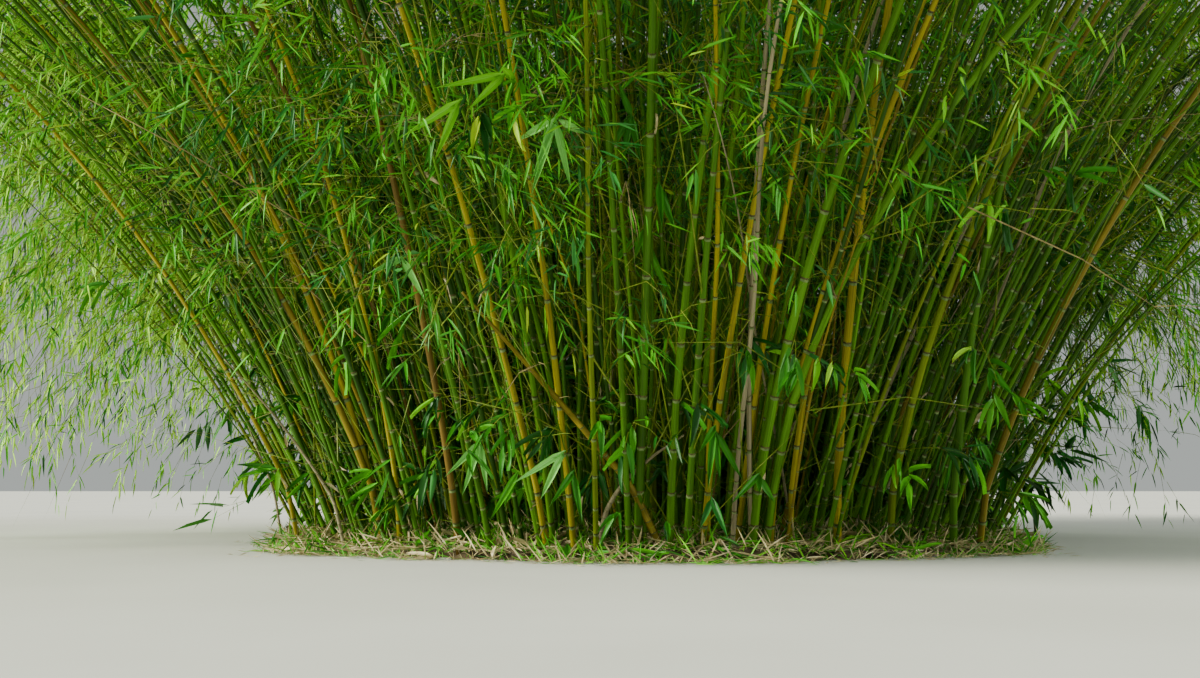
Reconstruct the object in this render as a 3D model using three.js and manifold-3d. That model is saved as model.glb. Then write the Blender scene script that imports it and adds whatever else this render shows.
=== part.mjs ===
// A clumping bamboo rooted in the ground: arching culms that fan out of a low root crown, with
// their leafy branches gathered into separate masses of foliage.
// Millimetres, +Z up. The origin is on the flat cut under the middle of the root crown, at
// ground level. The side that faces -Y is the front.

import * as THREE from "three";
import { ConvexGeometry } from "three/addons/geometries/ConvexGeometry.js";
import { mergeVertices } from "three/addons/utils/BufferGeometryUtils.js";
import Module from "manifold-3d";

const wasm = await Module();
wasm.setup();

// Driving dimensions, in millimetres and degrees
const FOOT_RADIUS = 1750; // the outermost culms leave the ground here
const CROWN_RADIUS = 1860; // edge of the root crown and its old sheaths
const CROWN_HEIGHT = 90;
const CROWN_EDGE_HEIGHT = 22;
const CROWN_ROUGHNESS = 7;
const CENTRE_LENGTH = 6900; // a culm on the clump's axis
const RIM_LENGTH = 4800; // a culm at the clump's rim
const CULM_DIAMETER = 31;
const RIM_SLIMMER = 0.12;
const CULM_TAPER = 0.72; // the share of its diameter that a culm loses on the way to its tip
const RIM_LEAN = 24; // lean of a rim culm as it leaves the ground
const CENTRE_BEND = 5; // further lean that a culm has taken on after BEND_LENGTH
const RIM_BEND = 16;
const BEND_LENGTH = 1900;
const BEND_POWER = 1.2;
const LEAN_SPREAD = 1.6;
const DRIFT = 5; // how far the directions of culms vary from straight outwards
const CULM_POINTS = 16; // a culm's arc is worked out at this many places
const LEAF_LENGTH = 640; // each leaf stands for a spray of real ones
const LEAF_WIDTH = 160;
const LEAF_THICKNESS = 10;
const LEAF_WIDEST = 0.36; // at this share of its length
const GAP = 0.3; // between neighbouring pieces

// The root crown is cut like a cake into cells of equal area, and each carries its own culms
const RINGS = [
  { name: "centre", cells: 1, culms: 5, sides: 4, steps: 4 },
  { name: "inner", cells: 6, culms: 5, sides: 4, steps: 4 },
  { name: "outer", cells: 12, culms: 6, sides: 5, steps: 5 },
];
const COLUMN_ANGLE = 15; // the crown's surface has a corner at every such turn
const FOOT_MARGIN = 55; // from a culm's axis to the edge of its cell
const FOOT_DEPTH = 12; // height at which a culm starts inside the crown
const STEP_ACROSS = 0.7548776662; // steps of an even spread of feet over a cell
const STEP_ROUND = 0.569840291;

// Habits of the foliage masses. A mass's stem has twigs from the share FROM of its length on,
// and each twig, like the stem's own end, has a fan of leaves. A branch leaves its host culm at
// the share AT of the culm's length, and droops as it reaches out.
const HOST_CUT = 0.7; // a culm that carries a tip mass ends at this share of its length
const TIP = { twigs: 3, fan: 2, from: 0.2, twigLength: 430 };
const SHOULDER = { twigs: 3, fan: 2, from: 0.35, twigLength: 400, at: 0.56, reach: 1100, droop: 4 };
const SKIRT = { twigs: 3, fan: 2, from: 0.3, twigLength: 380, at: 0.45, reach: 1200, droop: 32 };
const LOW = { twigs: 2, fan: 2, from: 0.5, twigLength: 190, at: 0.12, reach: 420, droop: 25 };
const LOW_CELLS = [2, 5, 8, 11]; // outer cells with a leafy shoot near the ground
const BRANCH_RISE = 35; // a branch sets out at this angle less its droop
const BRANCH_FALL = 20; // and has turned down by this angle and its droop at its end
const STEM_SIDES = 3;
const STEM_STEPS = 4;
const BRANCH_RADIUS = 11;
const TWIG_RADIUS = 9;
const TWIG_ANGLE = 52;
const TWIG_SAG = 0.12;
const LEAF_TURN = 52; // between a twig and the leaves at its sides
const LEAF_STEP = 120; // between neighbouring leaves along a twig
const LEAF_SINK = 22; // how deep the last leaf's root lies in the twig's end
const LEAF_DROOP = 0.5;
const TWIG_TRIES = 8;
const LEAF_CLEARANCE = 22; // from a leaf's sampled points to the skin of a culm
const TWIG_CLEARANCE = 12;
const SPACE_MARGIN = 28; // between the spaces of two masses
const SEAT_STRETCH = 110; // a branch may be this long before it must be clear of its host
const LOWEST_LEAF = 110;
const TESTED_PLACES = 10; // along a leaf or a twig, to test that it is clear of other things

const GOLDEN_ANGLE = Math.PI * (3 - Math.sqrt(5));
const UP = new THREE.Vector3(0, 0, 1);
const { degToRad, lerp } = THREE.MathUtils;

// A repeatable row of numbers from 0 to 1.
function seeded(seed) {
  const modulus = 2147483647;
  let state = ((seed + 1) * 48271) % modulus;
  const draw = () => {
    state = (state * 16807) % modulus;
    return state / modulus;
  };
  draw();
  draw();
  return draw;
}

function polar(radius, azimuth, height = 0) {
  return new THREE.Vector3(radius * Math.cos(azimuth), radius * Math.sin(azimuth), height);
}

// A closed geometry as a manifold-3d solid.
function solidOf(geometry) {
  const bare = new THREE.BufferGeometry();
  const plain = geometry.index ? geometry.toNonIndexed() : geometry;
  bare.setAttribute("position", plain.getAttribute("position"));
  const merged = mergeVertices(bare, 1e-3);
  return new wasm.Manifold(
    new wasm.Mesh({
      numProp: 3,
      vertProperties: new Float32Array(merged.attributes.position.array),
      triVerts: new Uint32Array(merged.index.array),
    }),
  );
}

// Joins geometries into one closed body. A scrap that touches nothing is dropped.
function fused(geometries) {
  const joined = geometries.map(solidOf).reduce((whole, piece) => whole.add(piece));
  const bodies = joined.decompose();
  bodies.sort((a, b) => b.volume() - a.volume());
  const mesh = bodies[0].getMesh();
  const geometry = new THREE.BufferGeometry();
  const corners = new Float32Array(mesh.numVert * 3);
  for (let i = 0; i < mesh.numVert; i++) {
    corners.set(mesh.vertProperties.subarray(i * mesh.numProp, i * mesh.numProp + 3), 3 * i);
  }
  geometry.setAttribute("position", new THREE.BufferAttribute(corners, 3));
  geometry.setIndex(new THREE.BufferAttribute(mesh.triVerts, 1));
  return geometry;
}

// The cross-section's own axes at a place on a path.
function sectionAxes(path, along) {
  const tangent = path.getTangent(along);
  const side = new THREE.Vector3().crossVectors(tangent, path.reference).normalize();
  const upper = new THREE.Vector3().crossVectors(tangent, side);
  return { tangent, side, upper };
}

// A path through points, with the level direction that its cross-sections are turned by.
function pathThrough(points, reference) {
  const path = new THREE.CatmullRomCurve3(points);
  const chord = points.at(-1).clone().sub(points[0]);
  const level = new THREE.Vector3(-chord.y, chord.x, 0);
  if (level.length() < 1) level.set(1, 0, 0);
  path.reference = reference ?? level.normalize();
  return path;
}

// A limb: a prism of unit depth, bent along its path and tapered. One of its long flats faces
// away from the section's side axis, which on a leaning culm is outwards and down. That flat is
// plane between two cross-sections, also where the limb bends.
function limb(path, radiusAt, sides, steps) {
  const corners = [];
  for (let k = 0; k < sides; k++) {
    const turn = Math.PI + (2 * Math.PI * (k + 0.5)) / sides;
    corners.push(new THREE.Vector2(Math.cos(turn), Math.sin(turn)));
  }
  const section = new THREE.Shape(corners);
  const geometry = new THREE.ExtrudeGeometry(section, { depth: 1, steps, bevelEnabled: false });
  const position = geometry.getAttribute("position");
  for (let i = 0; i < position.count; i++) {
    const along = position.getZ(i);
    const { side, upper } = sectionAxes(path, along);
    const radius = radiusAt(along);
    const place = path.getPoint(along);
    place.addScaledVector(side, position.getX(i) * radius);
    place.addScaledVector(upper, position.getY(i) * radius);
    position.setXYZ(i, place.x, place.y, place.z);
  }
  return geometry;
}

// The cells of the root crown

function crownCells() {
  const total = RINGS.reduce((sum, ring) => sum + ring.cells, 0);
  const cells = [];
  let before = 0;
  for (const ring of RINGS) {
    const near = CROWN_RADIUS * Math.sqrt(before / total);
    const far = CROWN_RADIUS * Math.sqrt((before + ring.cells) / total);
    for (let k = 0; k < ring.cells; k++) {
      const width = (2 * Math.PI) / ring.cells;
      const label = ring.cells > 1 ? `${ring.name}_${k + 1}` : ring.name;
      cells.push({ ring, label, number: cells.length, place: k, near, far, start: k * width, width });
    }
    before += ring.cells;
  }
  return cells;
}

// Height of the crown's rough, domed top.
function crownTop(radius, azimuth) {
  const dome = Math.sqrt(Math.max(0, 1 - (radius / CROWN_RADIUS) ** 2));
  const rough = Math.sin(azimuth * 5 + radius / 210) + Math.sin(azimuth * 11 - radius / 130);
  return lerp(CROWN_EDGE_HEIGHT, CROWN_HEIGHT, dome) + CROWN_ROUGHNESS * rough;
}

// One cell of the crown: an extruded outline whose upper corners are lifted onto the dome.
function crownPiece(cell) {
  const columns = Math.round(THREE.MathUtils.radToDeg(cell.width) / COLUMN_ANGLE);
  const whole = cell.ring.cells === 1;
  const inset = GAP / 2;
  const outline = [];
  for (let c = 0; c < (whole ? columns : columns + 1); c++) {
    outline.push([cell.far - inset, c]);
  }
  if (!whole) {
    for (let c = columns; c >= 0; c--) outline.push([cell.near + inset, c]);
  }
  const corners = outline.map(([radius, c]) => {
    const squeeze = whole ? 0 : (1 - (2 * c) / columns) * (inset / radius);
    const corner = polar(radius, cell.start + (c * cell.width) / columns + squeeze);
    return new THREE.Vector2(corner.x, corner.y);
  });
  const shape = new THREE.Shape(corners);
  const geometry = new THREE.ExtrudeGeometry(shape, { depth: 1, steps: 1, bevelEnabled: false });
  const position = geometry.getAttribute("position");
  for (let i = 0; i < position.count; i++) {
    if (position.getZ(i) === 0) continue;
    const x = position.getX(i);
    const y = position.getY(i);
    position.setZ(i, crownTop(Math.hypot(x, y), Math.atan2(y, x)));
  }
  return geometry;
}

// Culms

// The k-th culm of a cell. The feet are spread evenly over the cell, and a culm leans and bends
// outwards the more, the nearer it stands to the rim.
function growCulm(cell, k) {
  const draw = seeded(40 * cell.number + k);
  const across = (0.5 + STEP_ACROSS * (k + 1) + 0.31 * cell.number) % 1;
  const round = (0.5 + STEP_ROUND * (k + 1) + 0.57 * cell.number) % 1;
  const near = cell.near ? cell.near + FOOT_MARGIN : 0;
  const far = Math.min(cell.far - FOOT_MARGIN, FOOT_RADIUS);
  const radius = Math.sqrt(lerp(near ** 2, far ** 2, across));
  const margin = cell.ring.cells > 1 ? FOOT_MARGIN / radius : 0;
  const azimuth = cell.start + lerp(margin, cell.width - margin, round);
  const share = radius / FOOT_RADIUS;
  const length = lerp(CENTRE_LENGTH, RIM_LENGTH, share ** 2) * (0.93 + 0.1 * draw());
  const lean = RIM_LEAN * share + LEAN_SPREAD * (draw() - 0.5);
  const bend = lerp(CENTRE_BEND, RIM_BEND, share);
  const thickness = (CULM_DIAMETER / 2) * (0.84 + 0.2 * draw()) * (1 - RIM_SLIMMER * share);
  const radiusAt = (along) => thickness * (1 - CULM_TAPER * along ** 1.15);
  const outward = azimuth + degToRad(DRIFT) * (draw() - 0.5);
  const path = pathThrough(archedPoints(polar(radius, azimuth, FOOT_DEPTH), outward, length, lean, bend));
  return { cell, outward, radiusAt, path, end: 1 };
}

// Points at even steps along a culm, from its foot to its tip. It stays in one upright plane.
function archedPoints(foot, outward, length, lean, bend) {
  const points = [foot];
  const step = length / CULM_POINTS;
  for (let i = 0; i < CULM_POINTS; i++) {
    const tilt = degToRad(lean + bend * (((i + 0.5) * step) / BEND_LENGTH) ** BEND_POWER);
    const rise = polar(Math.sin(tilt) * step, outward, Math.cos(tilt) * step);
    points.push(points[i].clone().add(rise));
  }
  return points;
}

// The part of a culm's path that its solid has: a host of a tip mass ends early.
function standingPath(culm) {
  const points = [];
  for (let i = 0; i <= CULM_POINTS; i++) {
    points.push(culm.path.getPoint((culm.end * i) / CULM_POINTS));
  }
  return pathThrough(points, culm.path.reference);
}

function culmSolid(culm) {
  const radiusAt = (along) => culm.radiusAt(along * culm.end);
  return limb(standingPath(culm), radiusAt, culm.cell.ring.sides, culm.cell.ring.steps);
}

// The middle of a culm's outward flat at a share of the culm's length, and the way it faces.
function seatOn(culm, along) {
  const { sides, steps } = culm.cell.ring;
  const path = standingPath(culm);
  const step = Math.floor((along / culm.end) * steps);
  const [lower, upper] = [step, step + 1].map((ring) => {
    const flat = culm.radiusAt((ring / steps) * culm.end) * Math.cos(Math.PI / sides);
    const { side } = sectionAxes(path, ring / steps);
    return path.getPoint(ring / steps).addScaledVector(side, -flat);
  });
  const level = sectionAxes(path, step / steps).upper;
  const rise = upper.clone().sub(lower);
  const facing = new THREE.Vector3().crossVectors(rise, level).normalize();
  return { place: lower.lerp(upper, (along / culm.end) * steps - step), facing };
}

// Foliage

// The axes of a leaf's blade: forwards, across and upwards.
function bladeAxes(direction) {
  const forward = direction.clone().normalize();
  const across = new THREE.Vector3().crossVectors(UP, forward).normalize();
  const normal = new THREE.Vector3().crossVectors(forward, across);
  return { forward, across, normal };
}

// A leaf: a keeled blade, flat above, that is widest nearer to its root.
function leaf({ root, direction, length }) {
  const { forward, across, normal } = bladeAxes(direction);
  const tip = root.clone().addScaledVector(forward, length);
  const middle = root.clone().lerp(tip, LEAF_WIDEST);
  const left = middle.clone().addScaledVector(across, LEAF_WIDTH / 2);
  const right = middle.clone().addScaledVector(across, -LEAF_WIDTH / 2);
  const keel = middle.clone().addScaledVector(normal, -LEAF_THICKNESS);
  return new ConvexGeometry([root, tip, left, right, keel]);
}

// Points on a leaf's midrib and edges.
function leafSamples({ root, direction, length }) {
  const { forward, across } = bladeAxes(direction);
  const samples = [];
  for (let i = 1; i <= TESTED_PLACES; i++) {
    const along = i / TESTED_PLACES;
    const share = Math.min(along / LEAF_WIDEST, (1 - along) / (1 - LEAF_WIDEST));
    for (const edge of [-1, 0, 1]) {
      const place = root.clone().addScaledVector(forward, along * length);
      samples.push(place.addScaledVector(across, (edge * share * LEAF_WIDTH) / 2));
    }
  }
  return samples;
}

function distanceToLine(point, line) {
  let least = Infinity;
  const segment = new THREE.Line3();
  const nearest = new THREE.Vector3();
  for (let i = 0; i + 1 < line.length; i++) {
    segment.set(line[i], line[i + 1]);
    segment.closestPointToPoint(point, true, nearest);
    least = Math.min(least, nearest.distanceToSquared(point));
  }
  return Math.sqrt(least);
}

// Whether a point is too near to some limb. A limb is a culm or a mass's stem.
function limbsNear(point, limbs, clearance) {
  return limbs.some((one) => {
    if (one.bounds.distanceToPoint(point) > clearance) return false;
    return distanceToLine(point, one.line) < one.thickest + clearance;
  });
}

// Notes where a limb runs, for tests of clearance: the line through its cross-sections.
function noteLine(one, path, steps, thickest) {
  one.line = path.getPoints(steps);
  one.thickest = thickest;
  one.bounds = new THREE.Box3().setFromPoints(one.line).expandByScalar(thickest);
}

// Whether points stay clear of every culm and of the ground, and nearer to their own stem than
// to any other mass's.
function staysInSpace(points, mass, masses, culms, clearance) {
  return points.every((point) => {
    if (point.z < LOWEST_LEAF || limbsNear(point, culms, clearance)) return false;
    const own = distanceToLine(point, mass.line);
    return masses.every((other) => {
      if (other === mass || other.bounds.distanceToPoint(point) > own + SPACE_MARGIN) return true;
      return distanceToLine(point, other.line) > own + SPACE_MARGIN;
    });
  });
}

function makeMass(name, path, radius, habit) {
  const mass = { name, path, radius, habit };
  noteLine(mass, path, STEM_STEPS, radius);
  return mass;
}

// A mass that takes over where a host culm is cut, and runs on along that culm's own line.
function tipMass(culm) {
  const standing = standingPath(culm);
  const onward = standing.getTangent(1);
  const points = [standing.getPoint(1).addScaledVector(onward, GAP)];
  points.push(points[0].clone().addScaledVector(onward, 3 * BRANCH_RADIUS));
  for (let i = 1; i <= STEM_STEPS; i++) {
    points.push(culm.path.getPoint(lerp(culm.end, 1, i / STEM_STEPS)));
  }
  const path = pathThrough(points, culm.path.reference);
  return makeMass(`foliage_tip_${culm.cell.label}`, path, culm.radiusAt(culm.end), TIP);
}

// A branch that leaves the side of a host culm, or nothing where a limb is in its way.
function branchMass(name, culm, habit, turn, limbs) {
  const outward = polar(1, culm.outward + turn);
  const seat = seatOn(culm, habit.at);
  const points = [seat.place.clone().addScaledVector(seat.facing, GAP)];
  points.push(points[0].clone().addScaledVector(seat.facing, 3 * BRANCH_RADIUS));
  const count = STEM_STEPS - 1;
  const step = habit.reach / count;
  for (let i = 0; i < count; i++) {
    const tilt = degToRad(BRANCH_RISE - habit.droop - (i * (BRANCH_FALL + habit.droop)) / count);
    const onward = outward.clone().multiplyScalar(Math.cos(tilt) * step).setZ(Math.sin(tilt) * step);
    points.push(points.at(-1).clone().add(onward));
  }
  const path = pathThrough(points);
  const places = path.getPoints(STEM_STEPS * TESTED_PLACES);
  const tested = places.filter((place) => place.distanceTo(points[0]) > SEAT_STRETCH);
  const blocked = tested.some((point) => limbsNear(point, limbs, 2.5 * BRANCH_RADIUS));
  return blocked ? null : makeMass(name, path, BRANCH_RADIUS, habit);
}

// A way out of the side of a stem.
function twigHeading(path, along, turn) {
  const { tangent, side, upper } = sectionAxes(path, along);
  const angle = degToRad(TWIG_ANGLE);
  const heading = tangent.multiplyScalar(Math.cos(angle));
  heading.addScaledVector(side, Math.sin(angle) * Math.cos(turn));
  heading.addScaledVector(upper, Math.sin(angle) * Math.sin(turn));
  return heading.normalize();
}

// The leaves of a twig: one at its end, and the others alternating down its last part.
function leafFan(path, count, draw) {
  const end = path.getPoint(1);
  const heading = path.getTangent(1);
  const leaves = [];
  for (let k = 0; k < count; k++) {
    const side = k % 2 ? 1 : -1;
    const turn = k === 0 ? 0 : side * degToRad(LEAF_TURN + 12 * (draw() - 0.5));
    const direction = heading.clone().applyAxisAngle(UP, turn);
    direction.z -= LEAF_DROOP * (0.5 + draw());
    const root = end.clone().addScaledVector(heading, k === 0 ? -LEAF_SINK : -k * LEAF_STEP);
    leaves.push({ root, direction, length: LEAF_LENGTH * (0.82 + 0.26 * draw()) });
  }
  return leaves;
}

// A twig that fits its mass's space, with the leaves on it that fit too. Each try turns it
// further round the stem.
function growTwig(mass, along, firstTurn, fits, draw) {
  const { path, habit } = mass;
  const start = path.getPoint(along);
  for (let attempt = 0; attempt < TWIG_TRIES; attempt++) {
    const heading = twigHeading(path, along, firstTurn + attempt * GOLDEN_ANGLE);
    const middle = start.clone().addScaledVector(heading, habit.twigLength / 2);
    const end = start.clone().addScaledVector(heading, habit.twigLength);
    end.z -= TWIG_SAG * habit.twigLength;
    const twigPath = pathThrough([start, middle, end]);
    if (!fits(twigPath.getPoints(TESTED_PLACES).slice(1), TWIG_CLEARANCE)) continue;
    const leaves = leafFan(twigPath, habit.fan, draw);
    const fitting = leaves.filter((one) => fits(leafSamples(one), LEAF_CLEARANCE));
    if (fitting.length === 0) continue;
    if (fitting.length < leaves.length && attempt < TWIG_TRIES / 2) continue;
    return [limb(twigPath, () => TWIG_RADIUS, STEM_SIDES, 1), ...fitting.map(leaf)];
  }
  return [];
}

// The solid of a mass: its stem, twigs round the stem, and leaves at the ends of them all.
function massSolid(mass, number, masses, culms) {
  const { path, habit } = mass;
  const draw = seeded(number);
  const fits = (points, clearance) => staysInSpace(points, mass, masses, culms, clearance);
  const radiusAt = (along) => lerp(mass.radius, TWIG_RADIUS, along);
  const pieces = [limb(path, radiusAt, STEM_SIDES, STEM_STEPS)];
  for (let k = 0; k < habit.twigs; k++) {
    const along = lerp(habit.from, 0.95, (k + 0.3 * draw()) / habit.twigs);
    pieces.push(...growTwig(mass, along, 2 * Math.PI * draw() + k * GOLDEN_ANGLE, fits, draw));
  }
  const last = leafFan(path, habit.fan + 1, draw);
  pieces.push(...last.filter((one) => fits(leafSamples(one), LEAF_CLEARANCE)).map(leaf));
  return fused(pieces);
}

// The plant

const CULM_COLOURS = [0x4a6b1c, 0x5f7a1f, 0x35581a, 0x8c8428];
const LEAF_COLOURS = [0x3f8f1f, 0x55a32a, 0x2f7a2c];

function look(colours, number, roughness) {
  const color = colours[number % colours.length];
  return new THREE.MeshStandardMaterial({ color, roughness, metalness: 0 });
}

const plant = new THREE.Group();
plant.name = "bamboo_clump";

const cells = crownCells();
const stands = cells.map((cell) => ({
  cell,
  culms: Array.from({ length: cell.ring.culms }, (_, k) => growCulm(cell, k)),
}));
for (const stand of stands) stand.culms[0].end = HOST_CUT;
const culms = stands.flatMap((stand) => stand.culms);
for (const culm of culms) noteLine(culm, standingPath(culm), culm.cell.ring.steps, culm.radiusAt(0));

// A branch on the first culm of a stand that leaves it a clear way out.
function placeBranch(name, stand, first, habit, masses) {
  const turns = [0, 0.35, -0.35, 0.7, -0.7, 1.05, -1.05];
  const hosts = stand.culms.slice(1);
  for (let k = 0; k < hosts.length; k++) {
    for (const turn of turns) {
      const host = hosts[(first + k) % hosts.length];
      const mass = branchMass(name, host, habit, turn, [...culms, ...masses]);
      if (mass) return mass;
    }
  }
  throw new Error(`no clear way out for ${name}`);
}

// Every mass's stem comes before any leaf, because a mass's space depends on the other stems.
function layOutMasses() {
  const masses = stands.map((stand) => tipMass(stand.culms[0]));
  for (const stand of stands) {
    const { ring, label, place } = stand.cell;
    if (ring.name === "inner") {
      masses.push(placeBranch(`foliage_shoulder_${label}`, stand, 0, SHOULDER, masses));
    }
    if (ring.name === "outer") {
      masses.push(placeBranch(`foliage_skirt_${label}`, stand, 1, SKIRT, masses));
    }
    if (ring.name === "outer" && LOW_CELLS.includes(place)) {
      masses.push(placeBranch(`foliage_low_${label}`, stand, 3, LOW, masses));
    }
  }
  return masses;
}

// Adds a mesh whose own origin is a point of the part, such as a foot or a branch's seat.
function addPiece(group, name, geometry, material, origin) {
  geometry.translate(-origin.x, -origin.y, -origin.z);
  const mesh = new THREE.Mesh(geometry, material);
  mesh.name = name;
  mesh.position.copy(origin);
  group.add(mesh);
}

const stemGroup = new THREE.Group();
for (const stand of stands) {
  const { cell } = stand;
  const middle = polar(cell.near ? (cell.near + cell.far) / 2 : 0, cell.start + cell.width / 2);
  const geometry = fused([crownPiece(cell), ...stand.culms.map(culmSolid)]);
  addPiece(stemGroup, `stems_${cell.label}`, geometry, look(CULM_COLOURS, cell.number, 0.45), middle);
}

const foliageGroup = new THREE.Group();
const masses = layOutMasses();
masses.forEach((mass, number) => {
  const geometry = massSolid(mass, number, masses, culms);
  addPiece(foliageGroup, mass.name, geometry, look(LEAF_COLOURS, number, 0.6), mass.path.getPoint(0));
});

plant.add(stemGroup, foliageGroup);
export default plant;
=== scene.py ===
"""The looks of the bamboo clump: canes with their nodes, branches, twigs and leaves, old sheaths
and litter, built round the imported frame. Metres, +Z up. The camera looks along +Y.

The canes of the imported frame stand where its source's rule puts them. The same rule, written
again here, gives the further canes of a real clump between them. Branches leave the canes at
their nodes, twigs leave the branches, and leaves stand in fans along the twigs' ends."""

import math

import bmesh
import bpy
import numpy as np
from mathutils import Matrix, Vector


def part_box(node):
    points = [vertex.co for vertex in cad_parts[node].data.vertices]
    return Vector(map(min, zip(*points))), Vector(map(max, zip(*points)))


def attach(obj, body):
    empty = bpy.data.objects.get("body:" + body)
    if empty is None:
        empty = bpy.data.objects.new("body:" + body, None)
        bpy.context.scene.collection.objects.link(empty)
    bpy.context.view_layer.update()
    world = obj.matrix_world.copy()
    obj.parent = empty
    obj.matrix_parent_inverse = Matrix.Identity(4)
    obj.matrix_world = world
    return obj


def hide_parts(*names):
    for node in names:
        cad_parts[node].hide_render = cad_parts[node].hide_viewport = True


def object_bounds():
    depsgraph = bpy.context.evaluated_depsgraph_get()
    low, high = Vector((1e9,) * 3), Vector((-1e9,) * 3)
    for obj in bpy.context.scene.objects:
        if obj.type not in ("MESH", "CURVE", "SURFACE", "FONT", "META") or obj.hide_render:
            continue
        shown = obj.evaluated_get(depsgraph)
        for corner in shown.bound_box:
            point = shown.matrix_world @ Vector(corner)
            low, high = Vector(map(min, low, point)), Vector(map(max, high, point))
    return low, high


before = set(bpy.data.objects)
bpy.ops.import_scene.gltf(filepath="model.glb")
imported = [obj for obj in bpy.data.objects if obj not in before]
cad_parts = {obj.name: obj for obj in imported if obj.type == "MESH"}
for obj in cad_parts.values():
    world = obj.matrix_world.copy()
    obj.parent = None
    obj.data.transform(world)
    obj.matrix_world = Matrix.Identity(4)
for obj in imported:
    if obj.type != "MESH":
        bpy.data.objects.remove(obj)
CAD_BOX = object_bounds()

# The clump's rule, as in the source of the frame
FOOT_RADIUS = 1.750
CROWN_RADIUS = 1.860
CROWN_HEIGHT = 0.090
CROWN_EDGE_HEIGHT = 0.022
CROWN_ROUGHNESS = 0.007
CENTRE_LENGTH = 6.900
RIM_LENGTH = 4.800
CANE_DIAMETER = 0.031
RIM_SLIMMER = 0.12
CANE_TAPER = 0.72
RIM_LEAN = 24
CENTRE_BEND = 5
RIM_BEND = 16
BEND_LENGTH = 1.900
BEND_POWER = 1.2
LEAN_SPREAD = 1.6
DRIFT = 5
CANE_POINTS = 16
FOOT_MARGIN = 0.055
FOOT_DEPTH = 0.012
STEP_ACROSS = 0.7548776662
STEP_ROUND = 0.569840291
CELL_ACROSS = 0.31
CELL_ROUND = 0.57
SEED_FACTOR = 48271
DRAW_FACTOR = 16807
MODULUS = 2147483647
GOLDEN_ANGLE = math.pi * (3 - math.sqrt(5))
TURN = 2 * math.pi

# The rings of the root crown: canes in each cell of the frame, and in the finished clump
RINGS = (
    {"name": "centre", "cells": 1, "canes": 5, "grown": 44},
    {"name": "inner", "cells": 6, "canes": 5, "grown": 56},
    {"name": "outer", "cells": 12, "canes": 6, "grown": 44},
)

# How canes vary. Of each pair, the second value is multiplied by a draw and added to the first.
LENGTH = (0.93, 0.1)
THICKNESS = (0.84, 0.2)
FURTHER_LENGTH = (0.70, 0.28)
FURTHER_THICKNESS = (0.52, 0.52)
FURTHER_LEAN_SPREAD = 11.0
FURTHER_DRIFT = 26
FURTHER_WAVE = 0.028
SLENDER_CHANCE = 0.36
SLENDER_LENGTH = (0.30, 0.35)
SLENDER_THICKNESS = (0.26, 0.26)
SLENDER_SPREAD = 34.0
SLENDER_DRIFT = 150
WAVE_START = 1.2
WAVE_LENGTH = (1.3, 1.5)

# The least and the most that a cane has of a full crown's branches, and the share of the slender
# canes that has none
LEAFY = (0.5, 1.0)
BARE_SLENDER = 0.5

# How far a line may pass the frame's own box, its least height, and how a cane is shortened to fit
REACH_SPARE = 0.05
LOWEST_POINT = 0.008
SHORTER = 0.96

# A cane's nodes
NODES = 24
NODE_BAND = 0.0045
BLOOM_BAND = 0.011
RIDGE = 1.12
FINE_SHARE = 0.72
FINE_HEIGHT = 0.50
NEAR_SIDE = 0.2
STUB_CHANCE = 0.95
STUB_RADIUS = (0.0009, 0.0021)
STUB_ANGLES = (35, 80)
SHORTEST_STUB = 0.025
LONGER_STUB = 0.11
LOWEST_STUB = 0.01
LOWEST_CANE = 0.002
DRY_STUBS = 0.22

# Bearings, from +X round to +Y: the open side, where foliage starts higher up the canes, the sides
# where branches hang low, the one with the most sprays, and the bare ones, each with its half
# width, where hardly any low branches hide the canes
OPEN_SIDE = math.radians(272)
OPEN_HALF_WIDTH = math.radians(82)
HANGING_SIDE = math.radians(140)
HANGING_HALF_WIDTH = math.radians(62)
FAR_SIDE = math.radians(25)
FAR_HANGING = 0.55
SPRAY_SIDE = math.radians(251)
SPRAY_POWER = 9
BARE_SIDES = ((math.radians(208), math.radians(46)), (math.radians(318), math.radians(40)))

# Branches, by kind: lengths, the angle to the cane, how far they sag, twigs for each branch, the
# parts and lengths of each, leaves for each twig, and a leaf's length, slimness and droop
BRANCH_COLUMNS = (
    "length", "angle", "sag", "twigs", "twig_parts", "twig_length", "leaves", "leaf", "slim", "droop",
)
BRANCH_ROWS = {
    "crown": ((0.40, 0.95), 42, 0.30, 5, 1, (0.12, 0.28), 5, (0.085, 0.145), 0.135, 0.45),
    "skirt": ((0.80, 1.60), 66, 0.62, 11, 1, (0.12, 0.34), 5, (0.060, 0.115), 0.120, 0.55),
    "spray": ((0.25, 0.85), 62, 0.30, 7, 1, (0.10, 0.26), 5, (0.060, 0.125), 0.115, 0.30),
    "fill": ((0.35, 0.95), 60, 0.35, 4, 1, (0.12, 0.30), 4, (0.130, 0.210), 0.200, 0.45),
    "switch": ((0.50, 1.50), 25, 0.06, 2, 1, (0.10, 0.34), 3, (0.060, 0.115), 0.140, 0.35),
    "shoot": ((0.12, 0.34), 52, 0.40, 2, 2, (0.06, 0.16), 4, (0.080, 0.170), 0.185, 0.45),
    "whip": ((0.25, 0.95), 56, 0.24, 2, 2, (0.10, 0.32), 3, (0.060, 0.115), 0.150, 0.40),
}
BRANCHES = {kind: dict(zip(BRANCH_COLUMNS, row)) for kind, row in BRANCH_ROWS.items()}

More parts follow.
